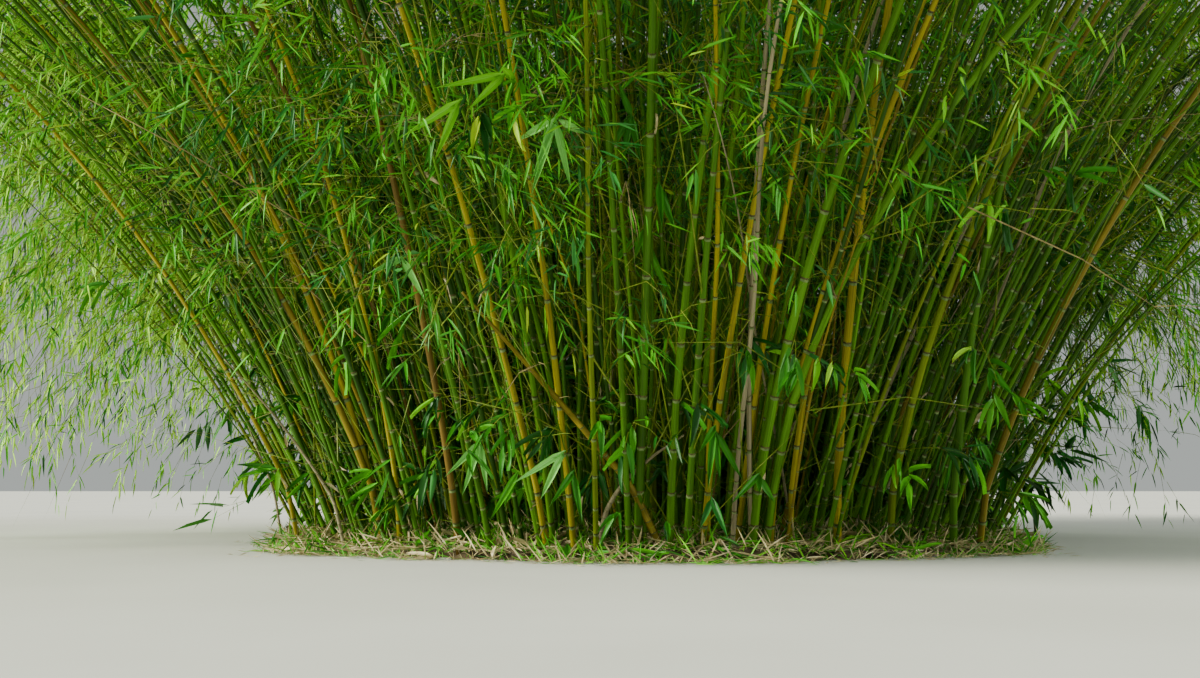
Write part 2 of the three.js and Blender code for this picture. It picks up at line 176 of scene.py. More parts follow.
# What branches, twigs and leaves of all kinds share. Of each pair, a value between is drawn.
BRANCH_SPREAD = 13
BRANCH_LIFT = (-0.1, 0.22)
BRANCH_SAGS = (0.4, 1.7)
BRANCH_SPARE = 0.02
BRANCH_RADIUS = 0.0034
TWIG_RADIUS = 0.0016
TWIG_ANGLE = 42
END_TWIG_ANGLE = 8.0
TWIG_PLACES = (0.2, 0.98)
TWIG_SAG = 0.22
TWIG_SAGS = (0.4, 2.4)
LEAF_TURN = 42
LEAF_SPREAD = 16
LEAF_STEP = 0.14
LEAF_DROOPS = (-0.3, 2.0)
LOWEST_LEAF = 0.05

# How much larger leaves are high up and far out, and where that sets in and is full
HIGH_LEAF = 1.50
HIGH_LEAF_HEIGHTS = (2.6, 4.4)
WIDE_LEAF = 1.25
WIDE_LEAF_RADII = (3.4, 4.8)

# Twigs with leaves on them, dry branches without any, and how far leaves are dealt deeper greens,
# by kind: for the fill deep in the clump this is painted shade of its dark inside
LEAFY_TWIGS = {"whip": 0.22, "switch": 0.22}
DRY_BRANCHES = {"whip": 0.16}
DRY_OTHERS = 0.03
PAINTED_SHADE_BY_KIND = {"fill": 0.45}
STRAY_GREENS = 0.25

# Where crown branches start: the height for canes in the middle and at the rim, how much higher
# on the open and the bare sides and lower behind, and over how much height they set in
CROWN_START = (2.0, 1.0)
OPEN_RISE = 1.15
BARE_RISE = 1.55
BEHIND_DROP = 0.45
SETTING_IN = 1.0

# Factors on those branches, each with the heights over which it ends or sets in: fewer below on
# the hidden inner canes, more at the top, and more on the bare sides
HIDDEN_FACTOR = 0.45
HIDDEN_HEIGHTS = (3.2, 4.4)
TOP_FACTOR = 1.5
TOP_HEIGHTS = (4.2, 5.4)
BARE_FACTOR = 1.4
BARE_HEIGHTS = (3.0, 3.8)

# Which canes, by their share of the way to the rim, count as outer ones for the rises, for skirt
# and crown, for sprays and for switches
RISE_SHARE = 0.45
SKIRT_SHARE = 0.62
SPRAY_SHARE = 0.6
SWITCH_SHARE = 0.7

# The heights at which each kind of other branch sets in and is full, thins and is gone
BRANCH_HEIGHTS = {
    "skirt": (1.1, 1.8, 2.9, 3.6),
    "spray": (0.8, 1.4, 2.8, 3.4),
    "fill": (0.05, 0.15, 2.4, 3.2),
    "shoot": (0.04, 0.2, 1.4, 2.2),
    "whip": (0.2, 0.8, 3.0, 3.8),
    "switch": (0.05, 0.3, 2.0, 2.8),
}
# The chance of one at a node, and what is left of it on a bare side
BRANCH_CHANCES = {
    "skirt": (0.57, 0.6),
    "spray": (0.52, 0.45),
    "fill": (0.55, 1.0),
    "shoot": (0.016, 1.0),
    "whip": (0.32, 0.25),
    "switch": (0.30, 0.3),
}
# The further chance of sprays on the open side, and that of fill above knee height
OPEN_SPRAYS = 0.03
HIGHER_FILL = 0.24
KNEE_HEIGHTS = (0.4, 0.9)

# The photograph's camera, worked out from its horizon and from the clump's outlines
IMAGE_WIDTH = 1200
IMAGE_HEIGHT = 678
FOCAL_PIXELS = 1330
HORIZON_ROW = 490
CAMERA_PLACE = Vector((-0.25, -7.0, 0.277))
CAMERA_PITCH = math.atan((HORIZON_ROW - IMAGE_HEIGHT / 2) / FOCAL_PIXELS)
SENSOR_WIDTH = 36.0

# Canes that stand out in the photograph: the skin, the diameter, and the pixels of the foot, the
# middle and the upper part. The broken ones end at their last pixel.
NOTED_CANES = (
    ("cane_yellow", 0.037, (833, 541), (847, 345), (876, 84)),
    ("cane_yellow", 0.029, (766, 536), (798, 380), (853, 205)),
    ("cane_yellow", 0.025, (787, 532), (806, 385), (846, 225)),
    ("cane_yellow", 0.026, (700, 535), (731, 333), (776, 90)),
    ("cane_fresh_green", 0.040, (748, 534), (790, 330), (876, 64)),
    ("cane_fresh_green", 0.036, (762, 530), (844, 274), (1037, 0)),
    ("cane_fresh_green", 0.032, (668, 540), (679, 364), (726, 0)),
    ("cane_dead", 0.021, (749, 530), (751, 300), (768, 20)),
    ("cane_orange", 0.031, (389, 536), (346, 421), (256, 255)),
    ("cane_yellow", 0.023, (305, 522), (267, 444), (200, 325)),
    ("cane_yellow", 0.030, (386, 532), (338, 372), (256, 180)),
    ("cane_yellow", 0.024, (404, 536), (371, 340), (329, 180)),
    ("cane_brown", 0.032, (462, 542), (416, 285), (370, 79)),
    ("cane_yellow", 0.028, (549, 540), (508, 370), (459, 190)),
    ("cane_orange", 0.031, (972, 528), (1007, 430), (1060, 312)),
    ("cane_green", 0.038, (947, 545), (957, 455), (972, 330)),
    ("cane_olive", 0.034, (884, 540), (911, 405), (946, 292)),
    ("cane_green", 0.036, (637, 545), (640, 480), (646, 300)),
)
BROKEN_CANES = (
    ("cane_orange", 0.034, (664, 524), (567, 410), (462, 292)),
    ("cane_dead", 0.024, (602, 545), (618, 490), (684, 435)),
    ("cane_dead", 0.014, (288, 525), (250, 430), (209, 325)),
    ("cane_dead", 0.016, (350, 530), (282, 425), (224, 359)),
)
NOTED_RADIUS = 1.66
NOTED_POINTS = 7
NOTED_LEAN = 6
NOTED_STEP = 0.3
NOTED_BEND = 0.045
NOTED_SAG = 0.02

# Leafy shoots that stand out on the near side, by the pixel of each one's hub
NOTED_SPRAYS = (
    (420, 500), (470, 432), (523, 392), (602, 417), (630, 462), (653, 405), (655, 520), (728, 360),
    (778, 341), (905, 470), (500, 90), (1000, 190), (760, 60),
)
NOTED_TURNS = (-0.5, 0.5)

# Fans of large leaves that stand out: the green, the pixel of the hub and those of the leaves' tips
NOTED_FANS = (
    ("leaf_pale", (555, 118), ((535, 172), (532, 193), (571, 189), (515, 142), (587, 135))),
    ("leaf_bright", (642, 233), ((634, 260), (602, 273), (656, 302), (674, 305))),
    ("leaf_green", (659, 186), ((662, 223), (675, 230))),
    ("leaf_green", (631, 115), ((619, 84), (640, 160), (622, 165), (604, 158))),
    ("leaf_light", (505, 74), ((440, 87), (470, 108))),
    ("leaf_light", (459, 101), ((407, 134), (436, 158))),
    ("leaf_pale", (402, 258), ((372, 272), (425, 300))),
    ("leaf_green", (714, 428), ((702, 448), (708, 488), (720, 480), (743, 481))),
    ("leaf_pale", (563, 452), ((517, 481), (553, 471), (540, 500))),
    ("leaf_green", (573, 472), ((552, 503), (582, 522))),
    ("leaf_pale", (480, 442), ((448, 474), (487, 491), (462, 496))),
    ("leaf_bright", (517, 473), ((492, 517), (505, 505))),
    ("leaf_blue_green", (712, 499), ((727, 536), (700, 528))),
    ("leaf_green", (758, 475), ((734, 501), (760, 492), (775, 503))),
)
FAN_REACH = 0.34
FAN_LEAF_WIDTH = 0.026

# The canes' colours, and the share of the canes that has each
CANE_COLOURS = {
    "cane_dark_green": (0.018, 0.060, 0.002),
    "cane_green": (0.042, 0.125, 0.003),
    "cane_fresh_green": (0.075, 0.205, 0.004),
    "cane_olive": (0.115, 0.165, 0.004),
    "cane_yellow": (0.250, 0.215, 0.008),
    "cane_orange": (0.165, 0.128, 0.010),
    "cane_brown": (0.115, 0.072, 0.011),
    "cane_dead": (0.230, 0.200, 0.115),
}
CANE_SHARES = (0.25, 0.38, 0.18, 0.105, 0.025, 0.015, 0.030, 0.015)
DEAD_SKIN = list(CANE_COLOURS).index("cane_dead")
# The leaves' greens from dark to light, with one more for noted leaves alone, and their shares
LEAF_COLOURS = {
    "leaf_deep": (0.010, 0.085, 0.006),
    "leaf_blue_green": (0.020, 0.150, 0.020),
    "leaf_green": (0.032, 0.215, 0.006),
    "leaf_bright": (0.080, 0.370, 0.007),
    "leaf_light": (0.190, 0.560, 0.012),
    "leaf_yellow": (0.400, 0.600, 0.014),
    "leaf_sunlit": (0.420, 0.800, 0.045),
    "leaf_pale": (0.240, 0.640, 0.130),
}
LEAF_SHARES = (0.15, 0.12, 0.28, 0.25, 0.13, 0.04, 0.03)
# How much a draw, a place outside in the crown and the sunny sides add to a spray's lightness,
# and what is taken off. What the outside and the sunny sides add is painted sunlight: lighter
# greens on the sprays that the sun would light.
DRAWN_LIGHT = 0.82
OUTSIDE_PAINTED_SUN = 0.16
SUNNY_PAINTED_SUN = 0.80
LESS_LIGHT = 0.05
# The other finishes: a dark and a pale colour, the roughness, the scale of the mottling, and the
# strength and depth of its relief
MOTTLED = {
    "node_ring": ((0.030, 0.030, 0.006), (0.100, 0.090, 0.022), 0.7, 90.0, 0.4, 0.001),
    "node_bloom": ((0.090, 0.160, 0.040), (0.200, 0.280, 0.100), 0.75, 60.0, 0.4, 0.001),
    "twig": ((0.070, 0.130, 0.005), (0.190, 0.240, 0.014), 0.55, 30.0, 0.4, 0.001),
    "twig_dry": ((0.130, 0.100, 0.032), (0.270, 0.215, 0.085), 0.7, 30.0, 0.4, 0.001),
    "sheath": ((0.420, 0.330, 0.160), (0.740, 0.650, 0.420), 0.65, 24.0, 0.4, 0.001),
    "litter": ((0.330, 0.260, 0.110), (0.680, 0.580, 0.320), 0.85, 40.0, 0.4, 0.001),
    "mould": ((0.040, 0.028, 0.014), (0.150, 0.110, 0.060), 0.95, 16.0, 1.0, 0.02),
}

# Layers of litter: the blade, how many, between which shares of the root crown's radius, how high
# above it, how steeply they rise, their lengths and slimness, and the shares of the finishes
LITTER_FINISHES = ("litter", "sheath", "leaf_green", "leaf_bright", "leaf_light")
LITTER_LAYERS = (
    ("plain", 4000, 0.0, 1.02, 0.014, (-0.1, 0.1), (0.04, 0.12), (0.10, 0.18),
     (0.45, 0.15, 0.15, 0.15, 0.10)),
    ("plain", 7000, 0.0, 1.05, 0.020, (-0.2, 0.4), (0.05, 0.18), (0.018, 0.05),
     (0.40, 0.25, 0.08, 0.15, 0.12)),
    ("plain", 5000, 0.0, 1.06, 0.006, (0.2, 2.2), (0.05, 0.15), (0.03, 0.08),
     (0.34, 0.21, 0.10, 0.20, 0.15)),
    ("plain", 5000, 0.93, 1.07, 0.004, (0.0, 1.0), (0.02, 0.09), (0.04, 0.10),
     (0.34, 0.21, 0.10, 0.20, 0.15)),
    ("plain", 900, 1.00, 1.14, 0.002, (0.0, 0.3), (0.02, 0.07), (0.04, 0.10),
     (0.40, 0.30, 0.05, 0.15, 0.10)),
    ("fine", 700, 0.0, 1.03, 0.020, (-0.2, 0.9), (0.06, 0.15), (0.14, 0.24),
     (0.25, 0.25, 0.25, 0.20, 0.05)),
)
LITTER_FLOOR = 0.003

# The root crown's mesh: its rings, its sides, and how ragged and how rough it is
MOUND_RINGS = 44
MOUND_SIDES = 144
MOUND_RAGGED = 0.10
MOUND_ROUGH = 0.012

# Old sheaths that still hang at nodes. The upright ones cling to the cane.
SHEATH_CHANCE = 0.03
UPRIGHT_CHANCE = 0.45
UPRIGHT_BELOW = 0.25
UPRIGHT_ANGLES = (8, 22)
HANGING_ANGLES = (120, 165)
SHEATH_LENGTHS = (0.04, 0.11)
SHEATH_SLIMNESS = (0.12, 0.26)

# The lights: where each comes from, its strength, its softness in degrees and its colour
LIGHTS = {
    "key": ((-9.0, -9.0, 11.0), 3.0, 14, (1.0, 0.98, 0.86)),
    "fill": ((11.0, -4.0, 7.0), 2.4, 40, (0.95, 1.0, 0.90)),
    "side": ((-11.0, -3.0, 4.5), 7.5, 24, (1.0, 1.0, 0.80)),
}
WORLD_COLOUR = (0.90, 0.96, 0.92, 1.0)
WORLD_STRENGTH = 0.50
FLOOR_RADIUS = 300.0


# Materials


def new_material(name, roughness, gloss=0.3):
    material = bpy.data.materials.new(name)
    material.use_nodes = True
    shader = material.node_tree.nodes["Principled BSDF"]
    shader.inputs["Roughness"].default_value = roughness
    shader.inputs["Specular IOR Level"].default_value = gloss
    return material, material.node_tree, shader


def noise_node(tree, source, stretch, scale, detail=4.0):
    """Noise over coordinates that are stretched by three factors."""
    mapping = tree.nodes.new("ShaderNodeMapping")
    mapping.inputs["Scale"].default_value = stretch
    tree.links.new(source, mapping.inputs["Vector"])
    noise = tree.nodes.new("ShaderNodeTexNoise")
    noise.inputs["Scale"].default_value = scale
    noise.inputs["Detail"].default_value = detail
    tree.links.new(mapping.outputs["Vector"], noise.inputs["Vector"])
    return noise


def colour_from(tree, shader, source, stops):
    """The shader's colour from a ramp through (place, colour) stops."""
    ramp = tree.nodes.new("ShaderNodeValToRGB")
    elements = ramp.color_ramp.elements
    while len(elements) < len(stops):
        elements.new(0.5)
    for element, (place, colour) in zip(elements, stops):
        element.position = place
        element.color = (*colour, 1.0)
    tree.links.new(source, ramp.inputs["Fac"])
    tree.links.new(ramp.outputs["Color"], shader.inputs["Base Color"])


def add_bump(tree, shader, source, strength, distance):
    bump = tree.nodes.new("ShaderNodeBump")
    bump.inputs["Strength"].default_value = strength
    bump.inputs["Distance"].default_value = distance
    tree.links.new(source, bump.inputs["Height"])
    tree.links.new(bump.outputs["Normal"], shader.inputs["Normal"])


def along_map(tree):
    """The map of a piece, which runs round or across it and then along it."""
    node = tree.nodes.new("ShaderNodeUVMap")
    node.uv_map = "along"
    return node.outputs["UV"]


def shade(colour, factor):
    return tuple(min(1.0, channel * factor) for channel in colour)


def cane_material(name, colour):
    """A cane's skin: streaks along it, and larger patches."""
    material, tree, shader = new_material(name, 0.42, 0.14)
    along = along_map(tree)
    streaks = noise_node(tree, along, (30.0, 14.0, 1.0), 1.0, 5.0)
    patches = noise_node(tree, along, (2.0, 9.0, 1.0), 1.0, 2.0)
    blend = tree.nodes.new("ShaderNodeMix")
    blend.data_type = "FLOAT"
    blend.inputs["Factor"].default_value = 0.55
    tree.links.new(streaks.outputs["Fac"], blend.inputs["A"])
    tree.links.new(patches.outputs["Fac"], blend.inputs["B"])
    stops = ((0.36, shade(colour, 0.5)), (0.5, colour), (0.64, shade(colour, 1.5)))
    colour_from(tree, shader, blend.outputs["Result"], stops)
    add_bump(tree, shader, streaks.outputs["Fac"], 0.25, 0.0006)
    return material


def leaf_material(name, colour):
    """A leaf: parallel veins across its blade and a paler midrib."""
    material, tree, shader = new_material(name, 0.40, 0.22)
    across = along_map(tree)
    veins = noise_node(tree, across, (26.0, 0.8, 1.0), 1.0, 3.0)
    split = tree.nodes.new("ShaderNodeSeparateXYZ")
    tree.links.new(across, split.inputs["Vector"])
    edge = shade(colour, 0.85)
    midrib = shade(colour, 1.6)
    stops = (
        (0.0, edge), (0.3, colour), (0.46, colour), (0.5, midrib),
        (0.54, colour), (0.7, colour), (1.0, edge),
    )
    colour_from(tree, shader, split.outputs["X"], stops)
    add_bump(tree, shader, veins.outputs["Fac"], 0.3, 0.0008)
    return material


def mottled_material(name, dark, pale, roughness, scale, strength, depth):
    material, tree, shader = new_material(name, roughness)
    place = tree.nodes.new("ShaderNodeTexCoord")
    noise = noise_node(tree, place.outputs["Object"], (1.0, 1.0, 1.0), scale)
    colour_from(tree, shader, noise.outputs["Fac"], ((0.35, dark), (0.65, pale)))
    add_bump(tree, shader, noise.outputs["Fac"], strength, depth)
    return material


def make_materials():
    made = {name: cane_material(name, colour) for name, colour in CANE_COLOURS.items()}
    made.update({name: leaf_material(name, colour) for name, colour in LEAF_COLOURS.items()})
    made.update({name: mottled_material(name, *row) for name, row in MOTTLED.items()})
    return made


# Templates, each made once with mesh operators and then repeated by arrays


class Template:
    """A small mesh as arrays: corners, faces and their slots, and a place on the map for each
    corner of a face."""

    def __init__(self, mesh):
        self.points = read(mesh.vertices, "co", 3)
        self.corners = read(mesh.loops, "vertex_index", 1, np.int32).ravel()
        self.starts = read(mesh.polygons, "loop_start", 1, np.int32).ravel()
        self.slots = read(mesh.polygons, "material_index", 1, np.int32).ravel()
        self.places = read(mesh.uv_layers[0].data, "uv", 2)


def read(items, name, width, kind=np.float32):
    values = np.empty(len(items) * width, kind)
    items.foreach_get(name, values)
    return values.reshape(-1, width)


def template_from(bm):
    mesh = bpy.data.meshes.new("template")
    bm.to_mesh(mesh)
    bm.free()
    template = Template(mesh)
    bpy.data.meshes.remove(mesh)
    return template


def of_kind(geometry, kind):
    return [item for item in geometry if isinstance(item, kind)]


def tube_template(sides, rings, slots):
    """An upright tube of radius 1. rings gives (height, radius) from (0, 1) on, and slots the slot
    of each band. A last radius of 0 closes it in a point, and any other in a flat end."""
    bm = bmesh.new()
    along = bm.loops.layers.uv.new("along")
    bmesh.ops.create_circle(bm, segments=sides, radius=1.0, cap_ends=False)
    edges = bm.edges[:]
    for (height, radius), (last_height, last_radius), slot in zip(rings[1:], rings, slots):
        grown = bmesh.ops.extrude_edge_only(bm, edges=edges)["geom"]
        verts = of_kind(grown, bmesh.types.BMVert)
        edges = of_kind(grown, bmesh.types.BMEdge)
        for face in of_kind(grown, bmesh.types.BMFace):
            face.material_index = slot
        widen = radius / last_radius
        bmesh.ops.scale(bm, vec=(widen, widen, 1.0), verts=verts)
        bmesh.ops.translate(bm, vec=(0.0, 0.0, height - last_height), verts=verts)
    if radius:
        for face in bmesh.ops.contextual_create(bm, geom=edges)["faces"]:
            face.material_index = slots[-1]
    else:
        bmesh.ops.remove_doubles(bm, verts=bm.verts[:], dist=1e-5)
    bmesh.ops.recalc_face_normals(bm, faces=bm.faces[:])
    map_round(bm, along)
    return template_from(bm)


def map_round(bm, along):
    """The map of a tube, which runs round it and up it. A face over the seam isn't torn."""
    for face in bm.faces:
        turns = [math.atan2(loop.vert.co.y, loop.vert.co.x) / TURN % 1 for loop in face.loops]
        wraps = max(turns) - min(turns) > 0.5
        for loop, turn in zip(face.loops, turns):
            loop[along].uv = (turn + (1.0 if wraps and turn < 0.5 else 0.0), loop.vert.co.z)


def slim_tube(sides, steps):
    """A tube of even steps that closes in a point."""
    rings = [(step / steps, 1.0) for step in range(steps)] + [(1.0, 0.0)]
    return tube_template(sides, rings, [0] * steps)


def plain_blade():
    """A leaf one unit long and wide, folded along its midrib, of two faces."""
    outline = ((0.0, 0.0), (0.22, 0.46), (0.62, 0.36), (1.0, 0.0), (0.62, -0.36), (0.22, -0.46))
    bm = bmesh.new()
    along = bm.loops.layers.uv.new("along")
    rim = bmesh.ops.create_circle(bm, segments=len(outline), radius=1.0, cap_ends=True)["verts"]
    for vert, (x, y) in zip(rim, outline):
        vert.co = (x, y, 0.040 * abs(y) - 0.10 * x * x)
    bmesh.ops.connect_verts(bm, verts=[rim[0], rim[3]])
    return finish_blade(bm, along)


def fine_blade():
    """A leaf one unit long and wide, folded along its midrib and bowed towards its tip."""
    bm = bmesh.new()
    along = bm.loops.layers.uv.new("along")
    bmesh.ops.create_grid(bm, x_segments=4, y_segments=2, size=1.0)
    for vert in bm.verts:
        x = (vert.co.x + 1) / 2
        half = 0.5 * math.sin(math.pi * x ** 0.62) ** 0.85 if 0.001 < x < 0.999 else 0.0
        vert.co = (x, vert.co.y * half, 0.05 * abs(vert.co.y) * 2 - 0.17 * x ** 2.2)
    bmesh.ops.remove_doubles(bm, verts=bm.verts[:], dist=1e-4)
    return finish_blade(bm, along)


def finish_blade(bm, along):
    for face in bm.faces:
        face.normal_update()
        if face.normal.z < 0:
            face.normal_flip()
        for loop in face.loops:
            loop[along].uv = (0.5 + loop.vert.co.y, loop.vert.co.x)
    return template_from(bm)


# Joined meshes


def run_of(template, points, slots, shifts=None):
    """Many copies of a template: points holds the corners of each copy, slots the slot of each
    copy or of each of its faces, and shifts moves each copy's place on the map."""
    slots = np.asarray(slots)
    if slots.ndim == 1:
        slots = np.repeat(slots[:, None], len(template.slots), axis=1)
    if shifts is None:
        shifts = np.zeros((len(points), 2))
    return template, points, slots, shifts


def add_object(name, data):
    made = bpy.data.objects.new(name, data)
    bpy.context.scene.collection.objects.link(made)
    return made


def joined_arrays(runs):
    """The points, corners, faces, places on the map and slots of several runs of copies."""
    points, corners, starts, places, slots = [], [], [], [], []
    vertex_count = 0
    corner_count = 0
    for template, run_points, run_slots, shifts in runs:
        steps = np.arange(len(run_points), dtype=np.int64)[:, None]
        points.append(run_points.reshape(-1, 3))
        corners.append((template.corners + steps * len(template.points)).ravel() + vertex_count)
        starts.append((template.starts + steps * len(template.corners)).ravel() + corner_count)
        places.append((template.places[None] + shifts[:, None, :]).reshape(-1, 2))
        slots.append(run_slots.ravel())
        vertex_count += len(points[-1])
        corner_count += len(corners[-1])
    return [np.concatenate(rows) for rows in (points, corners, starts, places, slots)]


def joined_piece(name, runs, material_names, materials):
    """One mesh object from several runs of copies."""
    points, corners, starts, places, slots = joined_arrays(runs)
    mesh = bpy.data.meshes.new(name)
    mesh.vertices.add(len(points))
    mesh.vertices.foreach_set("co", points.astype(np.float32).ravel())
    mesh.loops.add(len(corners))
    mesh.loops.foreach_set("vertex_index", corners.astype(np.int32))
    mesh.polygons.add(len(starts))
    mesh.polygons.foreach_set("loop_start", starts.astype(np.int32))
    mesh.polygons.foreach_set("material_index", slots.astype(np.int32))
    mesh.polygons.foreach_set("use_smooth", np.full(len(starts), True))
    layer = mesh.uv_layers.new(name="along")
    layer.data.foreach_set("uv", places.astype(np.float32).ravel())
    for material_name in material_names:
        mesh.materials.append(materials[material_name])
    mesh.update(calc_edges=True)
    return add_object(name, mesh)


def shaped_object(name, bm, material):
    """An object of one finish from a bmesh."""
    mesh = bpy.data.meshes.new(name)
    bm.to_mesh(mesh)
    bm.free()
    mesh.materials.append(material)
    return add_object(name, mesh)


def finish_piece(piece, slot, *nodes):
    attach(piece, "root")
    if nodes:
        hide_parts(*nodes)


# The rule of the canes


def seeded(seed):
    """The row of numbers from 0 to 1 that the frame's source draws from."""
    state = ((seed + 1) * SEED_FACTOR) % MODULUS

    def draw():
        nonlocal state
        state = (state * DRAW_FACTOR) % MODULUS
        return state / MODULUS

    draw()
    draw()
    return draw


def lerp(start, end, share):
    return start + (end - start) * share


def smooth_step(start, end, value):
    share = np.clip((value - start) / (end - start), 0.0, 1.0)
    return share * share * (3 - 2 * share)


def crown_cells():
    total = sum(ring["cells"] for ring in RINGS)
    cells = []
    before = 0
    for ring in RINGS:
        near = CROWN_RADIUS * math.sqrt(before / total)
        far = CROWN_RADIUS * math.sqrt((before + ring["cells"]) / total)
        width = TURN / ring["cells"]
        for k in range(ring["cells"]):
            label = f"{ring['name']}_{k + 1}" if ring["cells"] > 1 else ring["name"]
            cells.append({
                "ring": ring, "label": label, "number": len(cells),
                "near": near, "far": far, "start": k * width, "width": width,
            })
        before += ring["cells"]
    return cells


def crown_top(radius, azimuth):
    dome = np.sqrt(np.maximum(0.0, 1 - (radius / CROWN_RADIUS) ** 2))
    rough = np.sin(azimuth * 5 + radius / 0.210) + np.sin(azimuth * 11 - radius / 0.130)
    return lerp(CROWN_EDGE_HEIGHT, CROWN_HEIGHT, dome) + CROWN_ROUGHNESS * rough


def arched_points(foot, outward, length, lean, bend):
    """Points at even steps along a cane, which stays in one upright plane."""
    step = length / CANE_POINTS
    reached = (np.arange(CANE_POINTS) + 0.5) * step
    tilt = np.radians(lean + bend * (reached / BEND_LENGTH) ** BEND_POWER)
    out = np.concatenate(([0.0], np.cumsum(np.sin(tilt) * step)))
    rise = np.concatenate(([0.0], np.cumsum(np.cos(tilt) * step)))
    return np.stack((
        foot[0] + out * math.cos(outward),
        foot[1] + out * math.sin(outward),
        foot[2] + rise,
    ), axis=1)


def within_reach(points, spare=0.0):
    """Which rows of points stay in the frame's own box, and above the ground."""
    low = np.array(CAD_BOX[0]) - spare
    high = np.array(CAD_BOX[1]) + spare
    low[2] = LOWEST_POINT
    axes = tuple(range(1, points.ndim))
    return np.all((points > low) & (points < high), axis=axes)


def varied(pair, draw):
    """The first value of a pair, and a drawn part of the second on top."""
    return pair[0] + pair[1] * draw()


def foot_of(cell, k):
    """The radius and the bearing at which the k-th cane of a cell stands."""
    across = (0.5 + STEP_ACROSS * (k + 1) + CELL_ACROSS * cell["number"]) % 1
    round_share = (0.5 + STEP_ROUND * (k + 1) + CELL_ROUND * cell["number"]) % 1
    near = cell["near"] + FOOT_MARGIN if cell["near"] else 0
    far = min(cell["far"] - FOOT_MARGIN, FOOT_RADIUS)
    radius = math.sqrt(lerp(near ** 2, far ** 2, across))
    margin = FOOT_MARGIN / radius if cell["ring"]["cells"] > 1 else 0
    return radius, cell["start"] + lerp(margin, cell["width"] - margin, round_share)


def grow_cane(cell, k):
    """The k-th cane of a cell. Those after the frame's own canes vary more."""
    further = k >= cell["ring"]["canes"]
    draw = seeded(40 * cell["number"] + k)
    radius, azimuth = foot_of(cell, k)
    share = radius / FOOT_RADIUS
    length = lerp(CENTRE_LENGTH, RIM_LENGTH, share ** 2) * varied(LENGTH, draw)
    spread = FURTHER_LEAN_SPREAD if further else LEAN_SPREAD
    lean = RIM_LEAN * share + spread * (draw() - 0.5)
    bend = lerp(CENTRE_BEND, RIM_BEND, share)
    thickness = CANE_DIAMETER / 2 * varied(THICKNESS, draw) * (1 - RIM_SLIMMER * share)
    outward = azimuth + math.radians(FURTHER_DRIFT if further else DRIFT) * (draw() - 0.5)
    slender = further and draw() < SLENDER_CHANCE
    if slender:
        length *= varied(SLENDER_LENGTH, draw)
        thickness *= varied(SLENDER_THICKNESS, draw)
        lean += SLENDER_SPREAD * (draw() - 0.5)
        outward += math.radians(SLENDER_DRIFT) * (draw() - 0.5)
    elif further:
        length *= varied(FURTHER_LENGTH, draw)
        thickness *= varied(FURTHER_THICKNESS, draw)
    foot = (radius * math.cos(azimuth), radius * math.sin(azimuth), FOOT_DEPTH)
    points = arched_points(foot, outward, length, lean, bend)
    while further and not within_reach(points[1:], REACH_SPARE).all():
        length *= SHORTER
        points = arched_points(foot, outward, length, lean, bend)
    if further:
        points = points + wave(length, outward, draw)
    return {"cell": cell, "points": points, "radius": thickness, "share": share, "azimuth": azimuth,
            "slender": slender}


def wave(length, outward, draw):
    """A slight sideways wave along a cane, none at its foot."""
    reached = np.linspace(0.0, length, CANE_POINTS + 1)
    size = FURTHER_WAVE * (0.3 + draw()) * np.minimum(1.0, reached / WAVE_START)
    aside = size * np.sin(TURN * (reached / varied(WAVE_LENGTH, draw) + draw()))
    return np.stack((-aside * math.sin(outward), aside * math.cos(outward), np.zeros(len(aside))), axis=1)


# The noted canes


def sight_line(pixel):
    """The direction from the camera through a pixel of the photograph."""
    across = (pixel[0] - IMAGE_WIDTH / 2) / FOCAL_PIXELS
    up = (IMAGE_HEIGHT / 2 - pixel[1]) / FOCAL_PIXELS
    level = math.cos(CAMERA_PITCH) - up * math.sin(CAMERA_PITCH)
    rise = math.sin(CAMERA_PITCH) + up * math.cos(CAMERA_PITCH)
    return Vector((across, level, rise))


def foot_place(column):
    """A foot near the rim of the root crown, on its near side, under a column of pixels."""
    across = (column - IMAGE_WIDTH / 2) / FOCAL_PIXELS
    sight = Vector((across, math.cos(CAMERA_PITCH), 0.0)).normalized()
    start = Vector((CAMERA_PLACE.x, CAMERA_PLACE.y, FOOT_DEPTH))
    ahead = -(start.x * sight.x + start.y * sight.y)
    aside = (start + sight * ahead).xy.length
    radius = NOTED_RADIUS if aside < 0.9 * NOTED_RADIUS else 0.98 * CROWN_RADIUS
    ahead -= math.sqrt(max(0.0, radius ** 2 - aside ** 2))
    return start + sight * ahead


def line_through(foot, share, pixels):
    """A curve from a foot through three pixels, in a plane that leans out from the clump's middle."""
    lean = math.tan(math.radians(RIM_LEAN * share + NOTED_LEAN)) * -foot.y / foot.xy.length
    ahead = foot.y - CAMERA_PLACE.y - lean * (CAMERA_PLACE.z - foot.z)
    steps = np.linspace(0.0, 1.0, NOTED_POINTS)
    rows = pixels[0, 1] + (pixels[2, 1] - pixels[0, 1]) * steps
    middle_step = (pixels[1, 1] - pixels[0, 1]) / (pixels[2, 1] - pixels[0, 1])
    columns = np.polyval(np.polyfit((0.0, middle_step, 1.0), pixels[:, 0], 2), steps)
    points = [np.array(foot)]
    for pixel in zip(columns[1:], rows[1:]):
        sight = sight_line(pixel)
        points.append(np.array(CAMERA_PLACE + sight * (ahead / (sight.y + lean * sight.z))))
    return points


